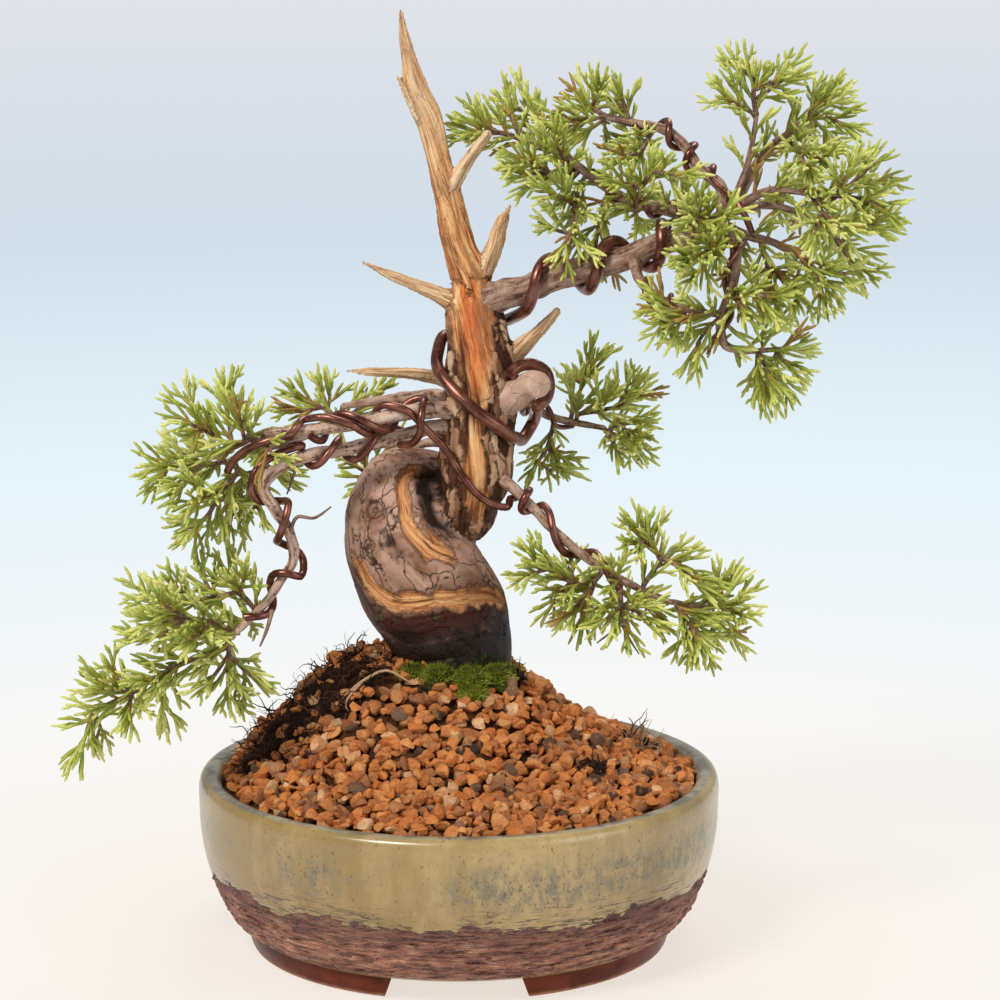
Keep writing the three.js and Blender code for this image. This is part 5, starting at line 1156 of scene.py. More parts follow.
# %% Scaly cords
def scaly(rings):
    """A cord of unit radius and length, with a pair of scales at every ring."""
    alone()
    bpy.ops.mesh.primitive_circle_add(vertices=5, radius=0.92, location=(0, 0, 0))
    cord = bpy.context.object
    bpy.ops.object.mode_set(mode="EDIT")
    bpy.ops.mesh.select_all(action="SELECT")
    for k in range(1, rings + 1):
        rise = (1, 0.5)[k == rings]
        bpy.ops.mesh.extrude_region_move(TRANSFORM_OT_translate={"value": (0, 0, rise)})
        top = k - 1 + rise
        bpy.ops.transform.rotate(value=math.radians(36), orient_axis="Z", center_override=(0, 0, top))
        swell = (1.17, 1 / 1.17)[k % 2] if k < rings else 0.62
        bpy.ops.transform.resize(value=(swell, swell, 1), center_override=(0, 0, top))
    bpy.ops.mesh.extrude_region_move(TRANSFORM_OT_translate={"value": (0, 0, 0.12)})
    bpy.ops.mesh.merge(type="COLLAPSE")
    bpy.ops.mesh.select_all(action="SELECT")
    bpy.ops.mesh.quads_convert_to_tris()
    bpy.ops.object.mode_set(mode="OBJECT")
    points = np.array([vertex.co[:] for vertex in cord.data.vertices])
    faces = np.array([face.vertices[:] for face in cord.data.polygons])
    bpy.data.objects.remove(cord)
    return points / [1, 1, points[:, 2].max()], faces


CORDS = [scaly(rings) for rings in (4, 6, 8, 10)]
SCALE_STEP = 1.35
CORD_RADIUS = 0.69
print("faces of the cords:", [len(faces) for _, faces in CORDS])


# %% Shoots
def bent(start, heading, curl, length, radius=CORD_RADIUS):
    """A cord laid along an arc that leaves in one direction and lifts in another."""
    cord = min(CORDS, key=lambda made: abs(len(made[0]) / 5 * SCALE_STEP - length))
    t = cord[0][:, 2]
    heading = unit(heading)
    side = unit(np.cross(heading, RIGHT * 0.9 + UP * 0.31 + FRONT * 0.17))
    over = np.cross(side, heading)
    centre = start + np.outer(t * length, heading) + np.outer(0.5 * t**2 * length, curl)
    return centre + radius * (1.0 - 0.1 * t)[:, None] * (cord[0][:, :1] * side + cord[0][:, 1:2] * over), cord


def shoot(seed, length):
    """A long cord along z with cords to its left and right that turn the same way."""
    draw = random.Random(seed)
    curl = np.array([draw.uniform(-0.3, 0.3), draw.uniform(-0.05, 0.35), 0])
    parts = [(*bent(np.zeros(3), UP, curl, length), 0.0, 1.0)]
    count = max(2, round(length / draw.uniform(2.3, 3.3)))
    for i in range(count):
        t = 0.16 + 0.62 * i / (count - 1) + draw.uniform(-0.05, 0.05)
        start = t * length * UP + 0.5 * t**2 * length * curl
        turn = (0 if i % 2 else math.pi) + draw.uniform(-0.9, 0.9)
        lean = draw.uniform(0.45, 0.8)
        out = np.array([math.cos(turn), math.sin(turn), 0])
        heading = out * math.sin(lean) + UP * math.cos(lean)
        reach = min((1.2 - t) * length * draw.uniform(0.7, 1.05), draw.uniform(5.0, 9.0))
        if reach < 1.8:
            continue
        turned = 0.45 * UP - 0.28 * out + 0.4 * curl
        parts.append((*bent(start, heading, turned, reach, CORD_RADIUS * 0.95), t, 0.6 + 0.4 * t))
        if reach > 4.8 and draw.random() < 0.35:
            fork = start + 0.45 * reach * unit(heading) + 0.10 * reach * turned
            away = unit(heading + 0.75 * np.cross(heading, [0.2, 0.3, 0.1]) * draw.choice((-2.6, 2.6)))
            parts.append((*bent(fork, away, turned, draw.uniform(2.2, 3.4), CORD_RADIUS * 0.9), t + 0.25, 1.0))
    points = np.vstack([placed for placed, *_ in parts])
    starts = np.cumsum([0] + [len(placed) for placed, *_ in parts])
    faces = np.vstack([cord[1] + first for (_, cord, _, _), first in zip(parts, starts)])
    age = np.concatenate([np.clip(base + (1 - base) * cord[0][:, 2] * tip, 0, 1) for _, cord, base, tip in parts])
    return points, faces, age


LENGTHS = (6.0, 8.5, 11.0, 14.0)
SHOOTS = {length: [shoot(31 * index + seed, length) for seed in range(7)] for index, length in enumerate(LENGTHS)}
print("faces of the shoots:", [len(kept[0][1]) for kept in SHOOTS.values()])

# %% [markdown]
# A spray is a stem with side twigs. Fans sit along all of them in a spiral, leaning
# forward along the twig and up to the light, larger near the tips. Each spray's
# points keep their age, from the twig outwards, and a tone of their own.

# %% Routes of the sprays
SPRAYS = {
    "crown_tip": (
        [(20, 12, 262), (13, 10, 264), (5, 8, 263), (-2, 6, 263)],
        (1, (6, 16, 268), (1, 20, 270)),
        (1, (7, 4, 266), (2, -2, 269)),
        (0, (16, 20, 270), (13, 24, 274)),
    ),
    "crown_tip_upper": (
        [(29, 11, 260), (26, 18, 266), (24, 22, 274)],
        (1, (20, 26, 270), (15, 34, 272)),
    ),
    "crown_tip_lower": (
        [(37, 8, 250), (29, 0, 252), (21, -6, 252), (15, -10, 249)],
        (1, (22, -12, 257), (15, -18, 259)),
        (0, (32, -4, 260), (30, -8, 269)),
    ),
    "crown_drop_left": (
        [(40, 8, 249), (37, -2, 242), (36, -12, 234), (33, -19, 223)],
        (1, (31, -12, 246), (24, -18, 245)),
        (2, (31, -9, 235), (28, -3, 238)),
    ),
    "crown_drop_right": (
        [(47, 6, 243), (45, 2, 235), (44, 0, 229), (45, -2, 220)],
        (2, (48, 6, 223), (50, 10, 216)),
    ),
    "arch_end": (
        [(48, 22, 268), (43, 24, 271), (38, 28, 274), (34, 30, 275)],
        (1, (45, 18, 276), (44, 14, 282)),
        (0, (37, 12, 268), (31, 6, 268), (29, 2, 266)),
        (0, (41, 30, 262), (36, 36, 258)),
    ),
    "arch_top": (
        [(56, 21, 265), (54, 22, 271), (50, 22, 281)],
        (1, (49, 32, 273), (46, 38, 276)),
    ),
    "arch_under": (
        [(62, 18, 263), (58, 8, 258), (52, 0, 257), (47, -4, 256)],
        (1, (55, 26, 260), (50, 34, 256)),
    ),
    "heart": (
        [(56, 1, 240), (58, -10, 248), (61, -16, 254), (66, -18, 258)],
        (1, (50, -16, 251), (46, -20, 252)),
        (2, (67, -24, 254), (75, -28, 252)),
    ),
    "heart_right": (
        [(77, -8, 238), (76, -17, 240), (74, -28, 240), (73, -38, 243)],
        (1, (83, -27, 241), (88, -33, 246)),
    ),
    "crown_top": (
        [(95, 5, 270), (94, 4, 275), (94, 2, 286)],
        (0, (88, 0, 274), (80, -6, 279)),
        (1, (100, 9, 278), (105, 14, 281), (109, 18, 282)),
        (1.3, (101, -2, 281), (110, -6, 283)),
        (1.6, (89, 10, 285), (85, 17, 287)),
    ),
    "crown_high": (
        [(113, 19, 269), (117, 20, 272), (122, 22, 275), (126, 24, 277)],
        (0, (115, 26, 274), (115, 30, 279)),
        (0, (120, 12, 268), (129, 8, 263)),
        (0, (119, 30, 263), (127, 38, 256)),
    ),
    "crown_high_low": (
        [(105, 15, 262), (109, 4, 259), (115, -4, 257), (121, -8, 255)],
        (1, (109, -12, 256), (112, -18, 250)),
    ),
    "crown_right": (
        [(119, -13, 246), (125, -14, 251), (130, -14, 256), (135, -12, 258)],
        (0, (126, -20, 246), (133, -24, 244), (138, -26, 241)),
        (0, (120, -26, 252), (123, -34, 259)),
        (1, (133, -8, 250), (139, -4, 248)),
    ),
    "crown_right_low": (
        [(110, -11, 248), (114, -20, 242), (120, -26, 237), (126, -30, 234)],
        (1, (111, -32, 236), (112, -38, 230)),
        (2, (129, -20, 238), (136, -16, 234)),
    ),
    "crown_rear": (
        [(124, 33, 226), (130, 36, 229), (137, 38, 231), (144, 38, 229)],
        (0, (128, 30, 221), (134, 26, 216), (136, 24, 213)),
        (0, (124, 44, 231), (129, 50, 237)),
        (1, (133, 32, 237), (137, 28, 242)),
    ),
    "crown_rear_mid": (
        [(103, 19, 240), (106, 24, 244), (112, 32, 246), (116, 40, 249)],
        (1, (104, 33, 238), (108, 42, 234)),
    ),
    "crown_low": (
        [(111, 12, 224), (115, 10, 220), (120, 8, 215), (123, 4, 209)],
        (0, (109, 4, 219), (108, 0, 211), (108, -2, 204)),
        (1, (124, 18, 218), (131, 22, 214)),
        (1, (116, 0, 215), (118, -6, 207)),
    ),
    "crown_low_mid": (
        [(97, 5, 229), (99, 2, 222), (100, 0, 215), (100, -4, 206)],
        (1, (96, 12, 215), (96, 16, 208)),
        (1, (104, -8, 217), (105, -12, 210)),
    ),
    "front_upper": (
        [(84, -14, 233), (79, -25, 231), (73, -34, 229), (66, -38, 231)],
        (1, (79, -36, 233), (77, -38, 238)),
        (1.5, (75, -40, 226), (69, -46, 224)),
    ),
    "front_right": (
        [(86, -29, 219), (91, -38, 219), (97, -42, 218), (103, -42, 221)],
        (1, (95, -36, 213), (102, -34, 208)),
        (0, (88, -42, 214), (90, -46, 207)),
    ),
    "front_left": (
        [(82, -33, 211), (74, -38, 213), (65, -40, 214), (57, -40, 215)],
        (1, (67, -44, 210), (59, -48, 211)),
        (2, (64, -38, 207), (65, -38, 202)),
        (2, (61, -34, 218), (59, -32, 220)),
        (0, (75, -36, 203), (74, -33, 193)),
    ),
    "crown_tail": (
        [(94, -27, 199), (100, -24, 199), (106, -22, 199), (112, -20, 198)],
        (1, (103, -28, 195), (110, -30, 192)),
        (0, (94, -26, 192), (96, -24, 185), (97, -22, 179)),
        (0, (98, -34, 191), (101, -36, 185)),
        (1, (101, -18, 191), (105, -14, 183)),
    ),
    "crown_back": (
        [(73, 44, 233), (70, 50, 237), (65, 56, 239)],
        (0, (78, 52, 238), (82, 58, 242)),
        (0, (77, 50, 228), (80, 56, 223)),
        (0, (67, 46, 231), (60, 48, 232)),
    ),
    "pad_top": (
        [(-61, -26, 171), (-67, -24, 170), (-71, -22, 168), (-77, -20, 171), (-81, -18, 176)],
        (2, (-73, -16, 177), (-74, -12, 185), (-72, -10, 189)),
        (1, (-68, -32, 179), (-69, -36, 186)),
        (0, (-57, -34, 167), (-53, -38, 169)),
        (4, (-86, -14, 181), (-90, -12, 184)),
        (3, (-84, -28, 176), (-90, -32, 178)),
        (1, (-64, -16, 175), (-62, -14, 179)),
    ),
    "pad_left": (
        [(-74, -17, 162), (-82, -20, 161), (-91, -24, 162), (-100, -28, 162)],
        (1, (-89, -10, 164), (-96, -6, 164)),
        (1, (-85, -32, 158), (-91, -38, 155)),
        (2, (-95, -14, 155), (-99, -10, 151)),
        (0, (-80, 4, 161), (-88, 16, 163)),
    ),
    "pad_low": (
        [(-70, -18, 159), (-75, -22, 153), (-79, -24, 146), (-82, -24, 143), (-86, -22, 134)],
        (1, (-81, -34, 153), (-86, -40, 149)),
        (3, (-87, -16, 140), (-90, -12, 138)),
        (1, (-72, -12, 145), (-76, -8, 135)),
    ),
    "pad_right": (
        [(-61, -14.5, 163), (-64, -12, 158), (-65, -9, 150), (-64, -6, 138)],
        (1, (-69, -4, 155), (-71, 2, 146), (-73, 6, 140)),
        (0.6, (-57, -7, 156), (-53, -3, 152)),
    ),
    "rear_left": (
        [(-40, 43, 166), (-45, 48, 168), (-52, 52, 171), (-59, 54, 174)],
        (0.9, (-44, 55, 172), (-46, 59, 178)),
        (1.2, (-54, 44, 168), (-60, 39, 170)),
        (0, (-34, 49, 168), (-28, 54, 172), (-23, 58, 174)),
    ),
    "rear_low": (
        [(-30, 41, 147), (-34, 44, 145), (-37, 46, 141)],
        (0, (-35, 36, 151), (-38, 32, 153)),
        (0, (-24, 46, 144), (-20, 50, 140)),
        (1, (-30, 50, 149), (-24, 55, 153), (-18, 58, 156)),
    ),
    "cascade_tip": (
        [(-73, -36, 106), (-82, -38, 103), (-91, -38, 99), (-103, -36, 91), (-115, -34, 84), (-119, -33, 74), (-122, -32, 66)],
        (3, (-110, -32, 97), (-114, -30, 100)),
        (3, (-110, -42, 94), (-117, -46, 94)),
        (3, (-103, -44, 86), (-102, -46, 80)),
        (2, (-94, -32, 89), (-92, -28, 78)),
        (4, (-114, -28, 77), (-115, -24, 72)),
        (2, (-96, -47, 98), (-101, -54, 96)),
    ),
    "cascade_upper": (
        [(-64, -31, 117), (-69, -30, 122), (-77, -32, 121), (-84, -34, 121), (-92, -36, 124)],
        (1, (-72, -24, 127), (-77, -20, 133)),
        (1, (-67, -38, 128), (-67, -42, 134)),
        (2, (-80, -26, 125), (-84, -22, 131)),
        (3, (-88, -42, 127), (-91, -46, 131)),
        (3, (-92, -24, 117), (-100, -16, 117), (-106, -12, 115)),
    ),
    "cascade_mid": (
        [(-69, -34, 110), (-77, -44, 116), (-84, -52, 119), (-95, -56, 119), (-101, -58, 120)],
        (1, (-81, -58, 114), (-88, -64, 113)),
        (2, (-93, -46, 112), (-105, -40, 110)),
        (2, (-90, -60, 125), (-96, -64, 130)),
    ),
    "cascade_back": (
        [(-66, -30, 113), (-75, -16, 110), (-85, -8, 107), (-95, -2, 104)],
        (1, (-82, -6, 101), (-89, 2, 96)),
        (2, (-94, -2, 110), (-102, 6, 109)),
    ),
    "cascade_hang": (
        [(-72, -38, 104), (-72, -40, 98), (-72, -40, 91), (-71, -40, 86)],
        (0, (-64, -34, 95), (-60, -32, 92)),
        (0, (-77, -46, 98), (-83, -50, 93)),
        (2, (-69, -34, 87), (-67, -32, 84)),
    ),
    "rear_right": (
        [(49, 41, 162), (54, 42, 164), (60, 42, 165), (64, 40, 168)],
        (0, (55, 50, 157), (61, 56, 153), (64, 58, 152)),
        (0, (52, 34, 157), (53, 30, 151)),
        (1, (58, 30, 161), (63, 24, 162)),
    ),
    "rear_right_upper": (
        [(39, 36, 168), (45, 32, 170), (52, 28, 172), (57, 26, 172)],
        (2, (55, 22, 179), (56, 18, 186)),
        (2, (60, 30, 177), (63, 34, 181)),
        (1, (47, 40, 174), (48, 46, 178)),
        (1, (48, 22, 175), (50, 18, 181)),
    ),
    "rear_right_tuft": (
        [(37, 36, 167), (39, 42, 172), (41, 46, 177), (43, 48, 186)],
        (2, (38, 52, 178), (36, 56, 179)),
        (2, (44, 44, 184), (48, 38, 187)),
    ),
    "rear_right_low": (
        [(31, 30, 166), (29, 26, 159), (26, 22, 155), (23, 18, 151)],
        (1, (33, 32, 154), (38, 36, 150)),
        (2, (31, 28, 150), (33, 32, 147)),
    ),
    "right_inner": (
        [(44, -19, 124), (36, -26, 125), (29, -30, 130), (25, -32, 134), (23, -34, 141)],
        (2, (23, -36, 129), (19, -40, 125)),
        (1, (31, -20, 118), (29, -16, 111)),
        (1, (37, -14, 128), (38, -10, 130)),
        (0, (42, -12, 116), (40, -8, 110), (41, -4, 102)),
        (0, (37, -28, 116), (33, -32, 110)),
    ),
    "right_heart": (
        [(52, -20, 123), (52, -26, 117), (53, -30, 111), (54, -32, 103)],
        (1, (58, -34, 116), (64, -38, 110)),
        (1, (47, -36, 115), (44, -40, 110)),
        (1, (57, -14, 116), (63, -8, 112), (68, -4, 107)),
        (0, (49, -30, 129), (46, -34, 134)),
    ),
    "right_top": (
        [(59, -21, 122), (63, -20, 128), (65, -20, 131), (61, -22, 135), (59, -24, 138), (54, -28, 146)],
        (3, (61, -16, 140), (61, -12, 143)),
        (4, (56, -30, 138), (52, -34, 141)),
        (2, (70, -22, 129), (78, -26, 123), (83, -28, 122)),
        (2, (72, -14, 129), (77, -10, 130)),
    ),
    "right_end": (
        [(69, -20, 117), (77, -18, 115), (85, -14, 115), (92, -10, 116), (96, -8, 115)],
        (1, (83, -8, 118), (86, -2, 125)),
        (2, (90, -22, 113), (93, -26, 110)),
        (2, (89, -4, 119), (92, 0, 121)),
        (1, (84, -12, 108), (90, -4, 101)),
        (0, (74, -26, 110), (70, -30, 105), (69, -32, 102)),
        (0, (76, -32, 107), (75, -36, 101)),
        (0, (78, -16, 105), (81, -12, 96)),
    ),
}

# %% Sprays
GOLDEN = math.radians(137.5)
SHOOT_STEP = 2.5
LAST_TUFT = 8.0
live_limbs = [limb for name, limb in limbs.items() if name not in STOUT]


def rooted(route):
    """The route drawn back to the branch that carries it, if that is near."""
    start = np.array(route[0], float)
    middles = [limb.centre(at) for limb in live_limbs for at in np.arange(0, limb.spans + 0.01, 0.1)]
    foot = min(middles, key=lambda middle: np.linalg.norm(middle - start))
    gap = np.linalg.norm(foot - start)
    return [tuple(foot), *route] if 0.8 < gap < 9 else route


def tuft(heap, run, at, turn, wanted, draw, open_out, brown=0.0):
    """One forked shoot that leaves a limb at a place and a turn, leaning forward."""
    tangent, zero, side = run.frame(at)
    out = zero * math.cos(turn) + side * math.sin(turn)
    heading = unit(tangent * draw.uniform(0.8, 1.1) + out * open_out + 0.14 * UP)
    size = min(LENGTHS, key=lambda made: abs(made - wanted))
    across = unit(np.cross(heading, out + 0.2 * side))
    points, faces, age = SHOOTS[size][draw.randrange(7)]
    stretch = min(max(wanted / size, 0.75), 1.12)
    turned = points * [1, 1, stretch] @ np.stack([across, np.cross(heading, across), heading])
    heap.add(run.centre(at) + turned, faces, wood=0.0, age=age, tone=draw.random(), dry=brown)


def grow(heap, route, radius, draw, first=0.0):
    """A brown twig along the route, with forked green shoots all along it."""
    run = Limb([(*p, radius * (1 - 0.45 * i / len(route))) for i, p in enumerate(route)], UP)
    lengths = np.cumsum([0, *np.linalg.norm(np.diff(run.points[:, :3], axis=0), axis=1)])
    length, spans = lengths[-1], np.arange(run.spans + 1)
    last = max(0.45 * length, length - LAST_TUFT)
    places = [at for at in run.places(1.8) if at < np.interp(last + 1, lengths, spans)]
    points, faces = swept(run, places, 6, tip=0.4)
    heap.add(points, faces, wood=1.0, age=0.0, tone=draw.random(), dry=0.0)
    turn, away = draw.uniform(0, 6.28), first
    while away < last + 1.6:
        at = float(np.interp(min(away, last), lengths, spans))
        turn += GOLDEN
        end = float(smooth(last - 5, last, away))
        wanted = min(draw.uniform(9.5, 15.5), 1.1 * (length - min(away, last)) + 0.8)
        brown = 1.0 if draw.random() < 0.05 * (1 - away / length) else 0.0
        tuft(heap, run, at, turn, wanted, draw, draw.uniform(0.5, 0.95) * (1 - 0.55 * end), brown)
        away += SHOOT_STEP * (1 - 0.3 * end) * draw.uniform(0.8, 1.2)


sprays = {}
for seed, (name, (stem, *sides)) in enumerate(SPRAYS.items()):
    draw = random.Random(700 + seed)
    heap = Heap("wood", "age", "tone", "dry")
    grow(heap, rooted(stem), 0.95, draw, first=1.8)
    spine = Limb([(*p, 0.95) for p in stem], UP)
    for at, *rest in sides:
        grow(heap, [tuple(spine.centre(at)), *rest], 0.7, draw, first=2.0)
    sprays[name] = heap.piece(f"foliage_{name}")
print("shoots and twigs:", sum(len(piece.data.polygons) for piece in sprays.values()), "faces")

# %% [markdown]
# The crown's own branches carry short shoots too, straight on their bark, which close
# the crown between its sprays.

# %% Inner crown
INNER_LIMBS = {
    "crown_high": 0.7, "crown_right": 0.6, "crown_rear": 0.8, "crown_low": 0.8,
    "crown_up": 0.9, "crown_front": 0.9, "crown_left": 0.9,
}
INNER_STEP = 3.4
inner = Heap("wood", "age", "tone", "dry")
draw = random.Random(977)
for name, begin in INNER_LIMBS.items():
    limb = limbs[name]
    whole, away, turn = limb.run(limb.spans), limb.run(begin), draw.uniform(0, 6.28)
    while away < whole:
        at = float(np.interp(away, limb.run(np.arange(limb.spans + 1)), np.arange(limb.spans + 1)))
        turn += GOLDEN
        brown = 1.0 if draw.random() < 0.12 else 0.0
        tuft(inner, limb, at, turn, draw.uniform(7.5, 12), draw, draw.uniform(0.8, 1.4), brown)
        away += INNER_STEP * draw.uniform(0.7, 1.3)
sprays["inner_crown"] = inner.piece("foliage_inner_crown")

# %% [markdown]
# The scales are too small to model: a fine cellular relief stands for them. Their
# colour runs from ochre at the twig through green to yellow-green at the growing tip,
# and light shines a little way through them.

# %% Foliage finish
scales = Finish("juniper_scales", roughness=0.55, specular_ior_level=0.2, subsurface_weight=0.12, subsurface_scale=0.002)
scales.shader.inputs["Subsurface Radius"].default_value = (0.5, 1.0, 0.2)
age = scales.attribute("age")
fan_tone = scales.attribute("tone")
patch = scales.noise(scales.place, 0.02, 3)
mottle = scales.noise(scales.place, 0.0012, 2, 0.6)
green = scales.ramp(
    age + 0.5 * (fan_tone - 0.5) + 0.4 * (patch - 0.5),
    (0.00, (0.42, 0.250, 0.050)),
    (0.13, (0.36, 0.320, 0.045)),
    (0.38, (0.290, 0.325, 0.052)),
    (0.70, (0.455, 0.480, 0.090)),
    (1.00, (0.690, 0.690, 0.210)),
)
green = scales.blend(0.32 * scales.step(mottle, 0.45, 0.7), green, (0.100, 0.140, 0.028))
green = scales.blend(0.8 * scales.attribute("dry"), green, (0.33, 0.15, 0.045))
twig_tone = scales.ramp(
    scales.noise(scales.place, 0.0018, 5, 0.65),
    (0.35, (0.085, 0.042, 0.026)),
    (0.52, (0.20, 0.115, 0.075)),
    (0.68, (0.36, 0.25, 0.18)),
)
scaly = scales.cells(scales.place, 0.0011)
scales.feed(
    base_color=scales.blend(scales.attribute("wood"), green, twig_tone),
    roughness=scales.step(mottle, 0.3, 0.7, 0.42, 0.6),
    normal=scales.relief(scaly, 0.0003, 0.7),
)
for name, piece in sprays.items():
    dress(piece, scales.material, "leaf", *[f"spray_{name}"] * (name in SPRAYS), angle=50)

# %% [markdown]
# A few twigs have died back and stand bare among the green ones.

# %% Dead twigs
BARE_TWIGS = [
    [(-52.6, -31.0, 142.3, 0.7), (-50.3, -32.0, 147.0, 0.6), (-44.9, -33.0, 146.9, 0.5), (-39.5, -34.0, 150.6, 0.3)],
    [(-51.0, -17.0, 160.9, 0.6), (-52.6, -18.0, 156.2, 0.5), (-54.2, -19.0, 151.9, 0.3)],
    [(-58.4, -34.0, 117.5, 0.9), (-60.0, -35.0, 111.6, 0.7), (-62.2, -36.0, 106.3, 0.35)],
    [(52.4, -22.0, 109.9, 0.55), (54.9, -23.0, 105.3, 0.45), (57.8, -24.0, 100.9, 0.25)],
    [(50.4, -24.0, 108.8, 0.5), (47.2, -25.0, 107.0, 0.4), (44.3, -26.0, 105.0, 0.25)],
    [(59.8, -18.0, 118.8, 0.5), (60.1, -19.0, 114.5, 0.4), (59.5, -20.0, 110.1, 0.25)],
    [(59.1, -20.0, 122.6, 0.9), (61.8, -21.0, 126.7, 0.8), (64.6, -22.0, 131.8, 0.7)],
]
bare_twigs = Heap("grain", "pale")
for route in BARE_TWIGS:
    run = Limb(route, UP)
    places = run.places(1.2)
    bare_twigs.add(*swept(run, places, 6, tip=0.5), grain=run.grain(places, 6) * MM, pale=0.2)
dress(bare_twigs.piece("bare_twigs"), young.material, "bark", angle=60)

# %% [markdown]
# ## Granules
# The pot is filled with baked clay granules of three to six millimetres, heaped round
# the trunk. A few lumps are shaped from icospheres and copied over the mound in a
# jittered honeycomb, with some more lying on top, each turned and coloured by chance.
# Underneath lies a dark bed, which shows only as depth between the granules.


# %% The mound
RIM_LEVEL = 54.8


def mound(x, y):
    away = np.hypot(x + 8, y - 4) / 47
    hump = ((x + 43) ** 2 + (y - 4) ** 2) / (2 * 16**2)
    height = 50.5 + 42 / (1 + away**3.4) + 7 * np.exp(-hump)
    return height - np.clip(height - RIM_LEVEL, 0, None) * smooth(65, 77.5, np.hypot(x, y))


alone()
BED_RADIUS = 77.2
bpy.ops.mesh.primitive_circle_add(vertices=160, radius=BED_RADIUS * MM, fill_type="NGON", location=Vector(AXIS))
bed = bpy.context.object
bed.name = "soil_bed"
bpy.ops.object.mode_set(mode="EDIT")
bpy.ops.mesh.select_all(action="SELECT")
bpy.ops.mesh.inset(thickness=0.0021)
for ring in range(34):
    bpy.ops.mesh.inset(thickness=0.0021)
bpy.ops.object.mode_set(mode="OBJECT")
settle(bed)
points = coordinates(bed)
points[:, 2] = mound(points[:, 0], points[:, 1]) - 0.9 + 0.7 * noises(points * [1, 1, 0], 5, 3, seed=31)
put(bed, points)
alone(bed)
bpy.ops.object.mode_set(mode="EDIT")
bpy.ops.mesh.select_all(action="DESELECT")
bpy.ops.mesh.select_mode(type="EDGE")
bpy.ops.mesh.select_non_manifold()
bpy.ops.mesh.extrude_region_move(TRANSFORM_OT_translate={"value": (0, 0, -0.012)})
bpy.ops.mesh.edge_face_add()
bpy.ops.mesh.select_all(action="SELECT")
bpy.ops.mesh.normals_make_consistent(inside=False)
bpy.ops.object.mode_set(mode="OBJECT")


# %% Lumps
def lump(seed):
    alone()
    bpy.ops.mesh.primitive_ico_sphere_add(subdivisions=2, radius=1.0, location=(0, 0, 0))
    ball = bpy.context.object
    shape = np.array([vertex.co[:] for vertex in ball.data.vertices])
    faces = np.array([face.vertices[:] for face in ball.data.polygons])
    bpy.data.objects.remove(ball)
    draw = random.Random(seed)
    for _ in range(9):
        cut = unit(np.array([draw.gauss(0, 1) for _ in range(3)]))
        depth = draw.uniform(0.38, 0.8)
        reach = shape @ cut
        shape -= np.outer(np.clip(reach - depth, 0, None) * 0.93, cut)
    shape *= (1.16 + 0.22 * noises(shape, 0.6, 2, seed=seed))[:, None]
    return shape * [draw.uniform(0.9, 1.4), 1.0, draw.uniform(0.62, 1.0)], faces


LUMPS = [lump(seed) for seed in range(16)]


def tumbled(draw, flat=0.8):
    """A chance turn, a little more often lying flat."""
    spin, tilt, way = draw.uniform(0, 6.28), draw.gauss(0, flat), draw.uniform(0, 6.28)
    axis = np.array([math.cos(way), math.sin(way), 0])
    cross = np.array([[0, 0, axis[1]], [0, 0, -axis[0]], [-axis[1], axis[0], 0]])
    lean = np.eye(3) + math.sin(tilt) * cross + (1 - math.cos(tilt)) * cross @ cross
    return lean @ np.array([[math.cos(spin), -math.sin(spin), 0], [math.sin(spin), math.cos(spin), 0], [0, 0, 1]])


# %% Laying the granules
TRUNK_FOOT = (-3.5, 6, 17.5)
draw = random.Random(41)
PITCH = 4.0


def matted(x, y):
    """How far a place lies in the dark root mat on the left slope, from 0 to 1."""
    patch = noise.fractal(Vector((x / 11, y / 11, 3.1)), 1.0, 2.0, 3)
    strip = smooth(17, 9, abs(y + 12 + 0.1 * (x + 40))) * smooth(-12, -22, x) * smooth(-76, -68, x)
    slope = smooth(-46, -54, x) * smooth(24, 12, abs(y - 2)) * smooth(-76, -70, x)
    return float(np.clip(max(strip, slope) + 0.7 * patch, 0, 1)) * float(max(strip, slope) > 0.05)


def free(x, y, margin=0.0):
    foot = math.hypot(x - TRUNK_FOOT[0], y - TRUNK_FOOT[1]) > TRUNK_FOOT[2] + margin
    return foot and math.hypot(x, y) < 76.0 - margin


granules = Heap("tint", "shade")


def lay(x, y, lift, size, tint=None):
    shape, faces = LUMPS[draw.randrange(len(LUMPS))]
    slope = (mound(x + 1, y) - mound(x - 1, y)) / 2, (mound(x, y + 1) - mound(x, y - 1)) / 2
    normal = unit(np.array([-slope[0], -slope[1], 1.0]))
    centre = np.array([x, y, mound(x, y)]) + normal * lift
    placed = centre + size * (shape @ tumbled(draw).T)
    shade = np.clip((placed - centre) @ normal / size, -1, 1) * 0.5 + 0.5
    granules.add(placed, faces, tint=draw.random() if tint is None else tint, shade=shade)


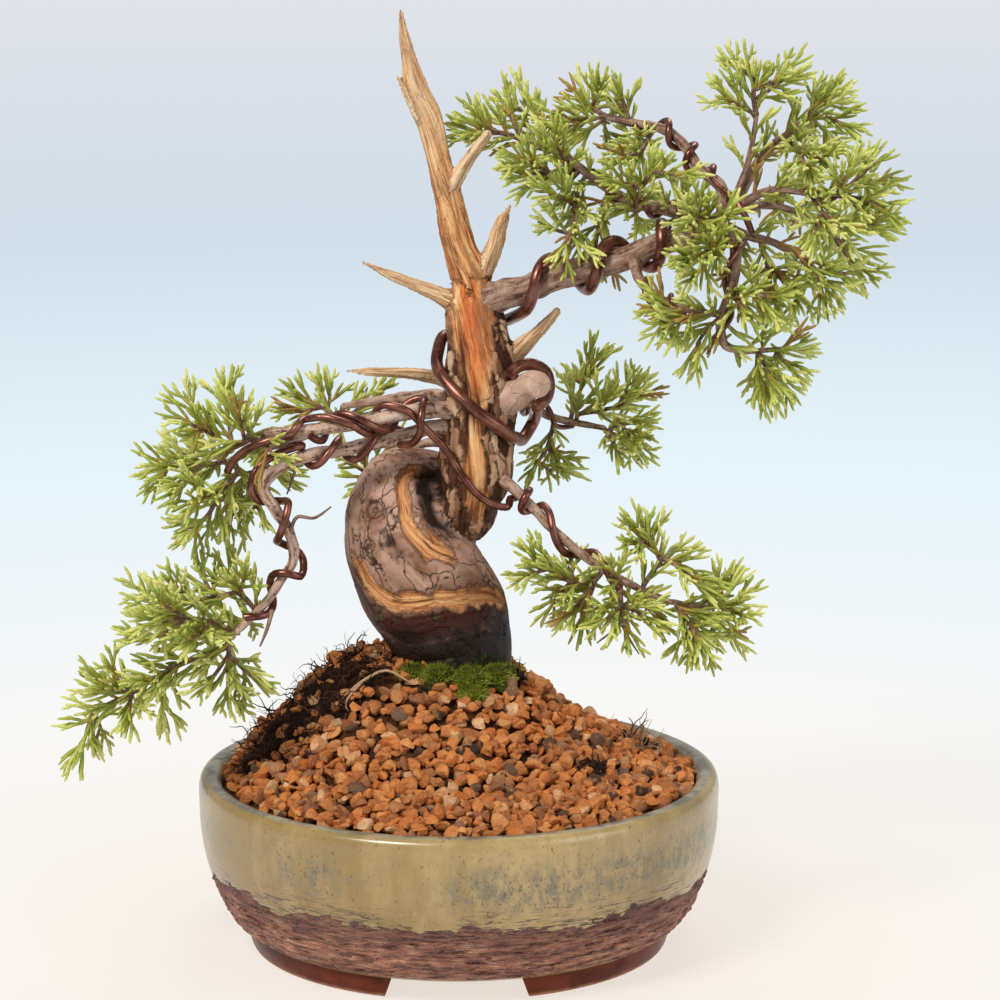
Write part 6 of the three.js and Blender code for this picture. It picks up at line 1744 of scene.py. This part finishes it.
rows = int(80 / (PITCH * 0.866))
for row in range(-rows, rows + 1):
    for column in range(-20, 21):
        x = (column + 0.5 * (row % 2)) * PITCH + draw.gauss(0, 0.75)
        y = row * PITCH * 0.866 + draw.gauss(0, 0.75)
        if not free(x, y) or matted(x, y) > 0.9:
            continue
        lay(x, y, draw.uniform(-0.3, 0.6), 2.85 - 1.1 * draw.random() ** 1.5)
top_layer = 0
while top_layer < 980:
    x, y = draw.uniform(-75, 75), draw.uniform(-75, 75)
    if free(x, y, 1.0) and matted(x, y) < 0.96:
        lay(x, y, draw.uniform(0.9, 2.2), draw.uniform(1.0, 2.6))
        top_layer += 1
for x, y, lift, size, tint in (
    *((57.5, -37, 2.2, 3.3, 0.985), (-27.5, -69.5, 2.0, 3.2, 0.93), (-58, -38, 2.0, 3.0, 0.91), (44, -12, 2.2, 3.6, 0.97)),
    *((-31, -53, 2.2, 3.4, 0.962), (16, -44, 2.0, 3.2, 0.966), (-44, -30, 2.0, 3.4, 0.905), (24, 2, 2.4, 4.0, 0.6)),
    *((15, -13, 2.5, 3.6, 0.955), (28, -28, 2.0, 3.0, 0.97), (-18, -30, 2.0, 2.8, 0.96), (60, -20, 1.6, 2.6, 0.98)),
):
    lay(x, y, lift, size, tint)
granules = granules.piece("granules")

# %% Granule finish
baked = Finish("baked_clay", roughness=0.85, specular_ior_level=0.2)
tint = baked.attribute("tint")
grain_of_clay = baked.noise(baked.place, 0.0009, 4, 0.7)
blotch = baked.noise(baked.place, 0.0026, 3, 0.6)
body = baked.ramp(
    tint,
    (0.00, (0.52, 0.210, 0.060)),
    (0.14, (0.66, 0.300, 0.100)),
    (0.28, (0.40, 0.180, 0.070)),
    (0.42, (0.62, 0.245, 0.070)),
    (0.54, (0.32, 0.150, 0.070)),
    (0.64, (0.70, 0.370, 0.145)),
    (0.74, (0.54, 0.190, 0.050)),
    (0.83, (0.25, 0.135, 0.080)),
    (0.90, (0.66, 0.420, 0.210)),
    (0.945, (0.76, 0.570, 0.360)),
    (0.955, (0.19, 0.130, 0.085)),
    (0.982, (0.070, 0.055, 0.045)),
)
clay_tone = baked.blend(0.5 * baked.step(blotch, 0.40, 0.66), body, (0.56, 0.38, 0.26), how="MULTIPLY")
clay_tone = baked.blend(0.45 * baked.step(blotch, 0.52, 0.70), clay_tone, (0.74, 0.36, 0.130))
clay_tone = baked.blend(0.6 * baked.step(grain_of_clay, 0.56, 0.68), clay_tone, (0.14, 0.055, 0.024))
clay_tone = baked.blend(0.9 * baked.step(baked.attribute("shade"), 0.5, 0.0), clay_tone, (0.085, 0.034, 0.016))
clay_tone = baked.blend(1.0, clay_tone, (1.25, 1.06, 0.95), how="MULTIPLY")
baked.feed(base_color=clay_tone, normal=baked.relief(grain_of_clay + 0.6 * blotch, 0.0011, 1.0))
dress(granules, baked.material, "clay_granules", "soil", angle=38)

# %% Bed finish
peat = Finish("dark_bed", roughness=0.95, specular_ior_level=0.1)
crumbly = peat.noise(peat.place, 0.002, 5, 0.7)
peat.feed(
    base_color=peat.ramp(crumbly, (0.35, (0.030, 0.013, 0.007)), (0.7, (0.150, 0.062, 0.026))),
    normal=peat.relief(crumbly, 0.002),
)
dress(bed, peat.material, "clay_granules", "soil", angle=60)

# %% [markdown]
# ## Old roots
# On the left slope lies a mat of the tree's old root soil: dark crumbs held by a
# tangle of fine dead roots, some of which stick out of it. A thick pale root arches
# over it, and smaller clumps lie by the rim and on the front slope.

# %% Root mat
alone()
bpy.ops.mesh.primitive_ico_sphere_add(subdivisions=6, radius=1.0, location=(0, 0, 0))
mat = bpy.context.object
mat.name = "root_mat_soil"
ball = np.array([vertex.co[:] for vertex in mat.data.vertices])
points = ball * [26, 20, 6] + [-47, -7, 0]
points[:, 2] += mound(points[:, 0], points[:, 1]) - 3.4
lumps = noises(points, 5.5, 4, seed=51)
crumbs = noises(points, 1.6, 2, seed=52)
inside = np.hypot(points[:, 0], points[:, 1])
points[:, :2] *= np.minimum(1, 76.5 / inside)[:, None]
points[:, 2] += np.clip(ball[:, 2] + 0.4, 0, 1) * (2.0 * lumps + 0.9 * crumbs)
put(mat, points)
wisps = Heap("tone")
draw = random.Random(61)


def root(start, heading, length, radius, tone, stiff=0.6, steps=6):
    """A fine root wanders on from its start, by chance, in short stretches."""
    place, way, route = np.array(start, float), unit(np.array(heading, float)), []
    for k in range(steps + 1):
        route.append((*place, radius * (1 - 0.75 * k / steps)))
        way = unit(way * stiff + np.array([draw.gauss(0, 0.36) for _ in range(3)]))
        place = place + way * length / steps
    run = Limb(route, UP)
    wisps.add(*swept(run, run.places(length / steps / 1.5), 4, tip=0.5), tone=tone)
    return route


for _ in range(420):
    x, y = -46 + 26 * draw.uniform(-1, 1), -8 + 19 * draw.uniform(-1, 1)
    if ((x + 46) / 26) ** 2 + ((y + 8) / 19) ** 2 > 1 or math.hypot(x, y) > 75:
        continue
    start = (x, y, mound(x, y) + draw.uniform(0.4, 2.8))
    route = root(start, (draw.gauss(-0.5, 0.8), draw.gauss(-0.3, 0.8), draw.uniform(-0.3, 0.25)), draw.uniform(6, 14), draw.uniform(0.16, 0.36), draw.random() * 0.7)
    if draw.random() < 0.4:
        root(route[3][:3], (draw.gauss(0, 1), draw.gauss(0, 1), 0.5), draw.uniform(3, 7), 0.15, draw.random() * 0.6)
for _ in range(60):
    turn = draw.uniform(2.6, 6.6)
    x, y = -3.5 + 21 * math.cos(turn), 6 + 21 * math.sin(turn)
    root((x, y, mound(x, y) + draw.uniform(0.2, 2)), (math.cos(turn), math.sin(turn), draw.uniform(-0.2, 0.5)), draw.uniform(4, 11), draw.uniform(0.14, 0.3), draw.random() * 0.6)
for turn, rise in ((176, 0.5), (186, 0.35), (170, 0.9), (196, 0.4), (205, 0.3), (163, 0.6)):
    a = math.radians(turn)
    x, y = 62 * math.cos(a), 62 * math.sin(a) * 0.4
    root((x, y, mound(x, y) + 1.5), (-1, 0.15, rise), 11, 0.34, 0.2, stiff=1.2)
PALE_ROOTS = [
    [(-37, -18, 85, 0.5), (-30, -18, 91, 0.5), (-23, -18, 94, 0.45), (-16, -20, 91, 0.3)],
    [(-31, -18, 90, 0.4), (-36, -21, 84, 0.36), (-34, -22, 79, 0.3), (-32, -24, 74, 0.25)],
]
for route in PALE_ROOTS:
    run = Limb(route, UP)
    wisps.add(*swept(run, run.places(1.0), 8, tip=0.5), tone=1.0)


# %% Clumps of dead root
def clump(centre, size, count, height, shade=0.3):
    """Crumbs of dark soil with roots standing out of them."""
    for _ in range(int(count * 1.2)):
        shape, faces = LUMPS[draw.randrange(len(LUMPS))]
        place = np.array(centre) + np.array([draw.gauss(0, 0.5) * s for s in size])
        wisps.add(place + draw.uniform(0.7, 1.5) * (shape @ tumbled(draw).T), faces, tone=draw.random() * 0.15)
    for _ in range(count):
        place = np.array(centre) + np.array([draw.gauss(0, 0.45) * s for s in size])
        heading = (draw.gauss(0, 0.5), draw.gauss(0, 0.5), draw.uniform(0.3, 1.4))
        root(place, heading, draw.uniform(0.4, 1.0) * height, draw.uniform(0.2, 0.5), shade + 0.4 * draw.random(), stiff=1.2)


clump((57, 9, 60), (6, 9, 3.5), 60, 15, shade=0.7)
clump((41, -30, 64.5), (5, 5, 1.6), 34, 5)
clump((13, -7, 89), (9, 4, 2.5), 46, 7)
wisps = wisps.piece("fine_roots")

# %% Root finish
fibre = Finish("dead_roots", roughness=0.9, specular_ior_level=0.15)
thread = fibre.noise(fibre.place, 0.0012, 4, 0.7)
fibre.feed(
    base_color=fibre.ramp(
        fibre.attribute("tone") + 0.25 * (thread - 0.5),
        (0.00, (0.014, 0.007, 0.005)),
        (0.35, (0.045, 0.018, 0.012)),
        (0.70, (0.13, 0.055, 0.032)),
        (0.95, (0.46, 0.30, 0.17)),
    ),
    normal=fibre.relief(thread, 0.0005),
)
dress(wisps, fibre.material, "root_soil", "root_mat", "rim_roots", angle=70)
matted_soil = Finish("matted_soil", roughness=0.95, specular_ior_level=0.1)
crumb = matted_soil.noise(matted_soil.place, 0.0016, 5, 0.72)
matted_soil.feed(
    base_color=matted_soil.ramp(crumb, (0.36, (0.010, 0.005, 0.004)), (0.60, (0.05, 0.022, 0.014)), (0.78, (0.15, 0.065, 0.035))),
    normal=matted_soil.relief(crumb, 0.0018),
)
dress(mat, matted_soil.material, "root_soil", "root_mat", angle=70)

# %% [markdown]
# ## Moss
# Moss grows where the trunk leaves the soil. It is a bed of soft cushions covered
# with thousands of tiny upright blades, each no more than a folded spike.

# %% Moss cushions
MOSS_CUSHIONS = [
    *((-30, 2.5, 91, 4.8), (-8, 3.5, 90.5, 6.2), (18, 4.5, 89.5, 6.6)),
    *((44, 3.5, 89, 6.2), (66, 2, 88, 5.0), (16, 9, 86.5, 5)),
]
cushions, blades = [], Heap("height", "tone")
draw = random.Random(81)
for turn, out, height, radius in MOSS_CUSHIONS:
    a = math.radians(turn)
    reach = 19.5 + out
    cushions.append((np.array([-3.5 + reach * math.sin(a), 6 - reach * math.cos(a), height]), radius))
for centre, radius in cushions:
    alone()
    bpy.ops.mesh.primitive_ico_sphere_add(subdivisions=4, radius=1.0, location=(0, 0, 0))
    ball = bpy.context.object
    shape = np.array([vertex.co[:] for vertex in ball.data.vertices])
    faces = np.array([face.vertices[:] for face in ball.data.polygons])
    bpy.data.objects.remove(ball)
    shape = shape * (1 + 0.22 * noises(shape + centre, 0.55, 3, seed=82))[:, None]
    blades.add(centre + shape * radius * [0.93, 0.93, 0.8], faces, height=0.1, tone=0.4)
spike = np.array([[0.22, 0, 0], [-0.11, 0.19, 0], [-0.11, -0.19, 0], [0.1, 0, 0.55], [-0.09, 0.06, 0.5], [0, 0, 1.0]])
spike_faces = np.array([[0, 1, 4], [0, 4, 3], [1, 2, 4], [2, 0, 3], [2, 3, 4], [3, 4, 5]])
count = 0
while count < 5200:
    centre, radius = cushions[draw.randrange(len(cushions))]
    normal = unit(np.array([draw.gauss(0, 1), draw.gauss(-0.3, 1), abs(draw.gauss(0.2, 0.8))]))
    base = centre + normal * radius * [0.9, 0.9, 0.78]
    if math.hypot(base[0] + 3.5, base[1] - 6) < 18.0:
        continue
    heading = unit(normal + 0.6 * UP + np.array([draw.gauss(0, 0.45) for _ in range(3)]))
    across = unit(np.cross(heading, RIGHT + 0.1))
    size = draw.uniform(1.1, 2.3)
    turned = spike * [0.62 * size, 0.62 * size, size] @ np.stack([across, np.cross(heading, across), heading])
    blades.add(base + turned, spike_faces, height=np.array([0.1, 0.1, 0.1, 0.6, 0.6, 1.0]), tone=draw.random())
    count += 1
moss = blades.piece("moss_cushions")
mossy = Finish("moss", roughness=0.75, specular_ior_level=0.15, subsurface_weight=0.1, subsurface_scale=0.001)
moss_patch = mossy.noise(mossy.place, 0.005, 3)
moss_tone = mossy.ramp(
    mossy.attribute("height") * (0.6 + 0.5 * mossy.attribute("tone")) + 0.5 * (moss_patch - 0.5),
    (0.00, (0.022, 0.028, 0.006)),
    (0.30, (0.160, 0.190, 0.016)),
    (0.60, (0.360, 0.400, 0.040)),
    (1.00, (0.660, 0.660, 0.130)),
)
mossy.feed(base_color=moss_tone, normal=mossy.relief(mossy.noise(mossy.place, 0.001, 3), 0.0005))
dress(moss, mossy.material, "moss", "moss", angle=60)

# %% [markdown]
# ## Drainage screens
# Inside, two squares of black plastic mesh keep the granules in over the drainage
# holes. Their solids are right as they are and only get a finish.

# %% Screens
mesh_plastic = Finish("black_mesh_plastic", roughness=0.55)
moulded = mesh_plastic.noise(mesh_plastic.place, 0.0008, 3)
mesh_plastic.feed(
    base_color=mesh_plastic.blend(moulded, (0.012, 0.012, 0.014), (0.030, 0.031, 0.034)),
    normal=mesh_plastic.relief(moulded, 0.0002, 0.5),
)
for name in ("drain_screen_left", "drain_screen_right"):
    solid = next(thing for thing in bpy.data.objects if thing.name.startswith(name))
    for slot in solid.material_slots:
        slot.material = mesh_plastic.material
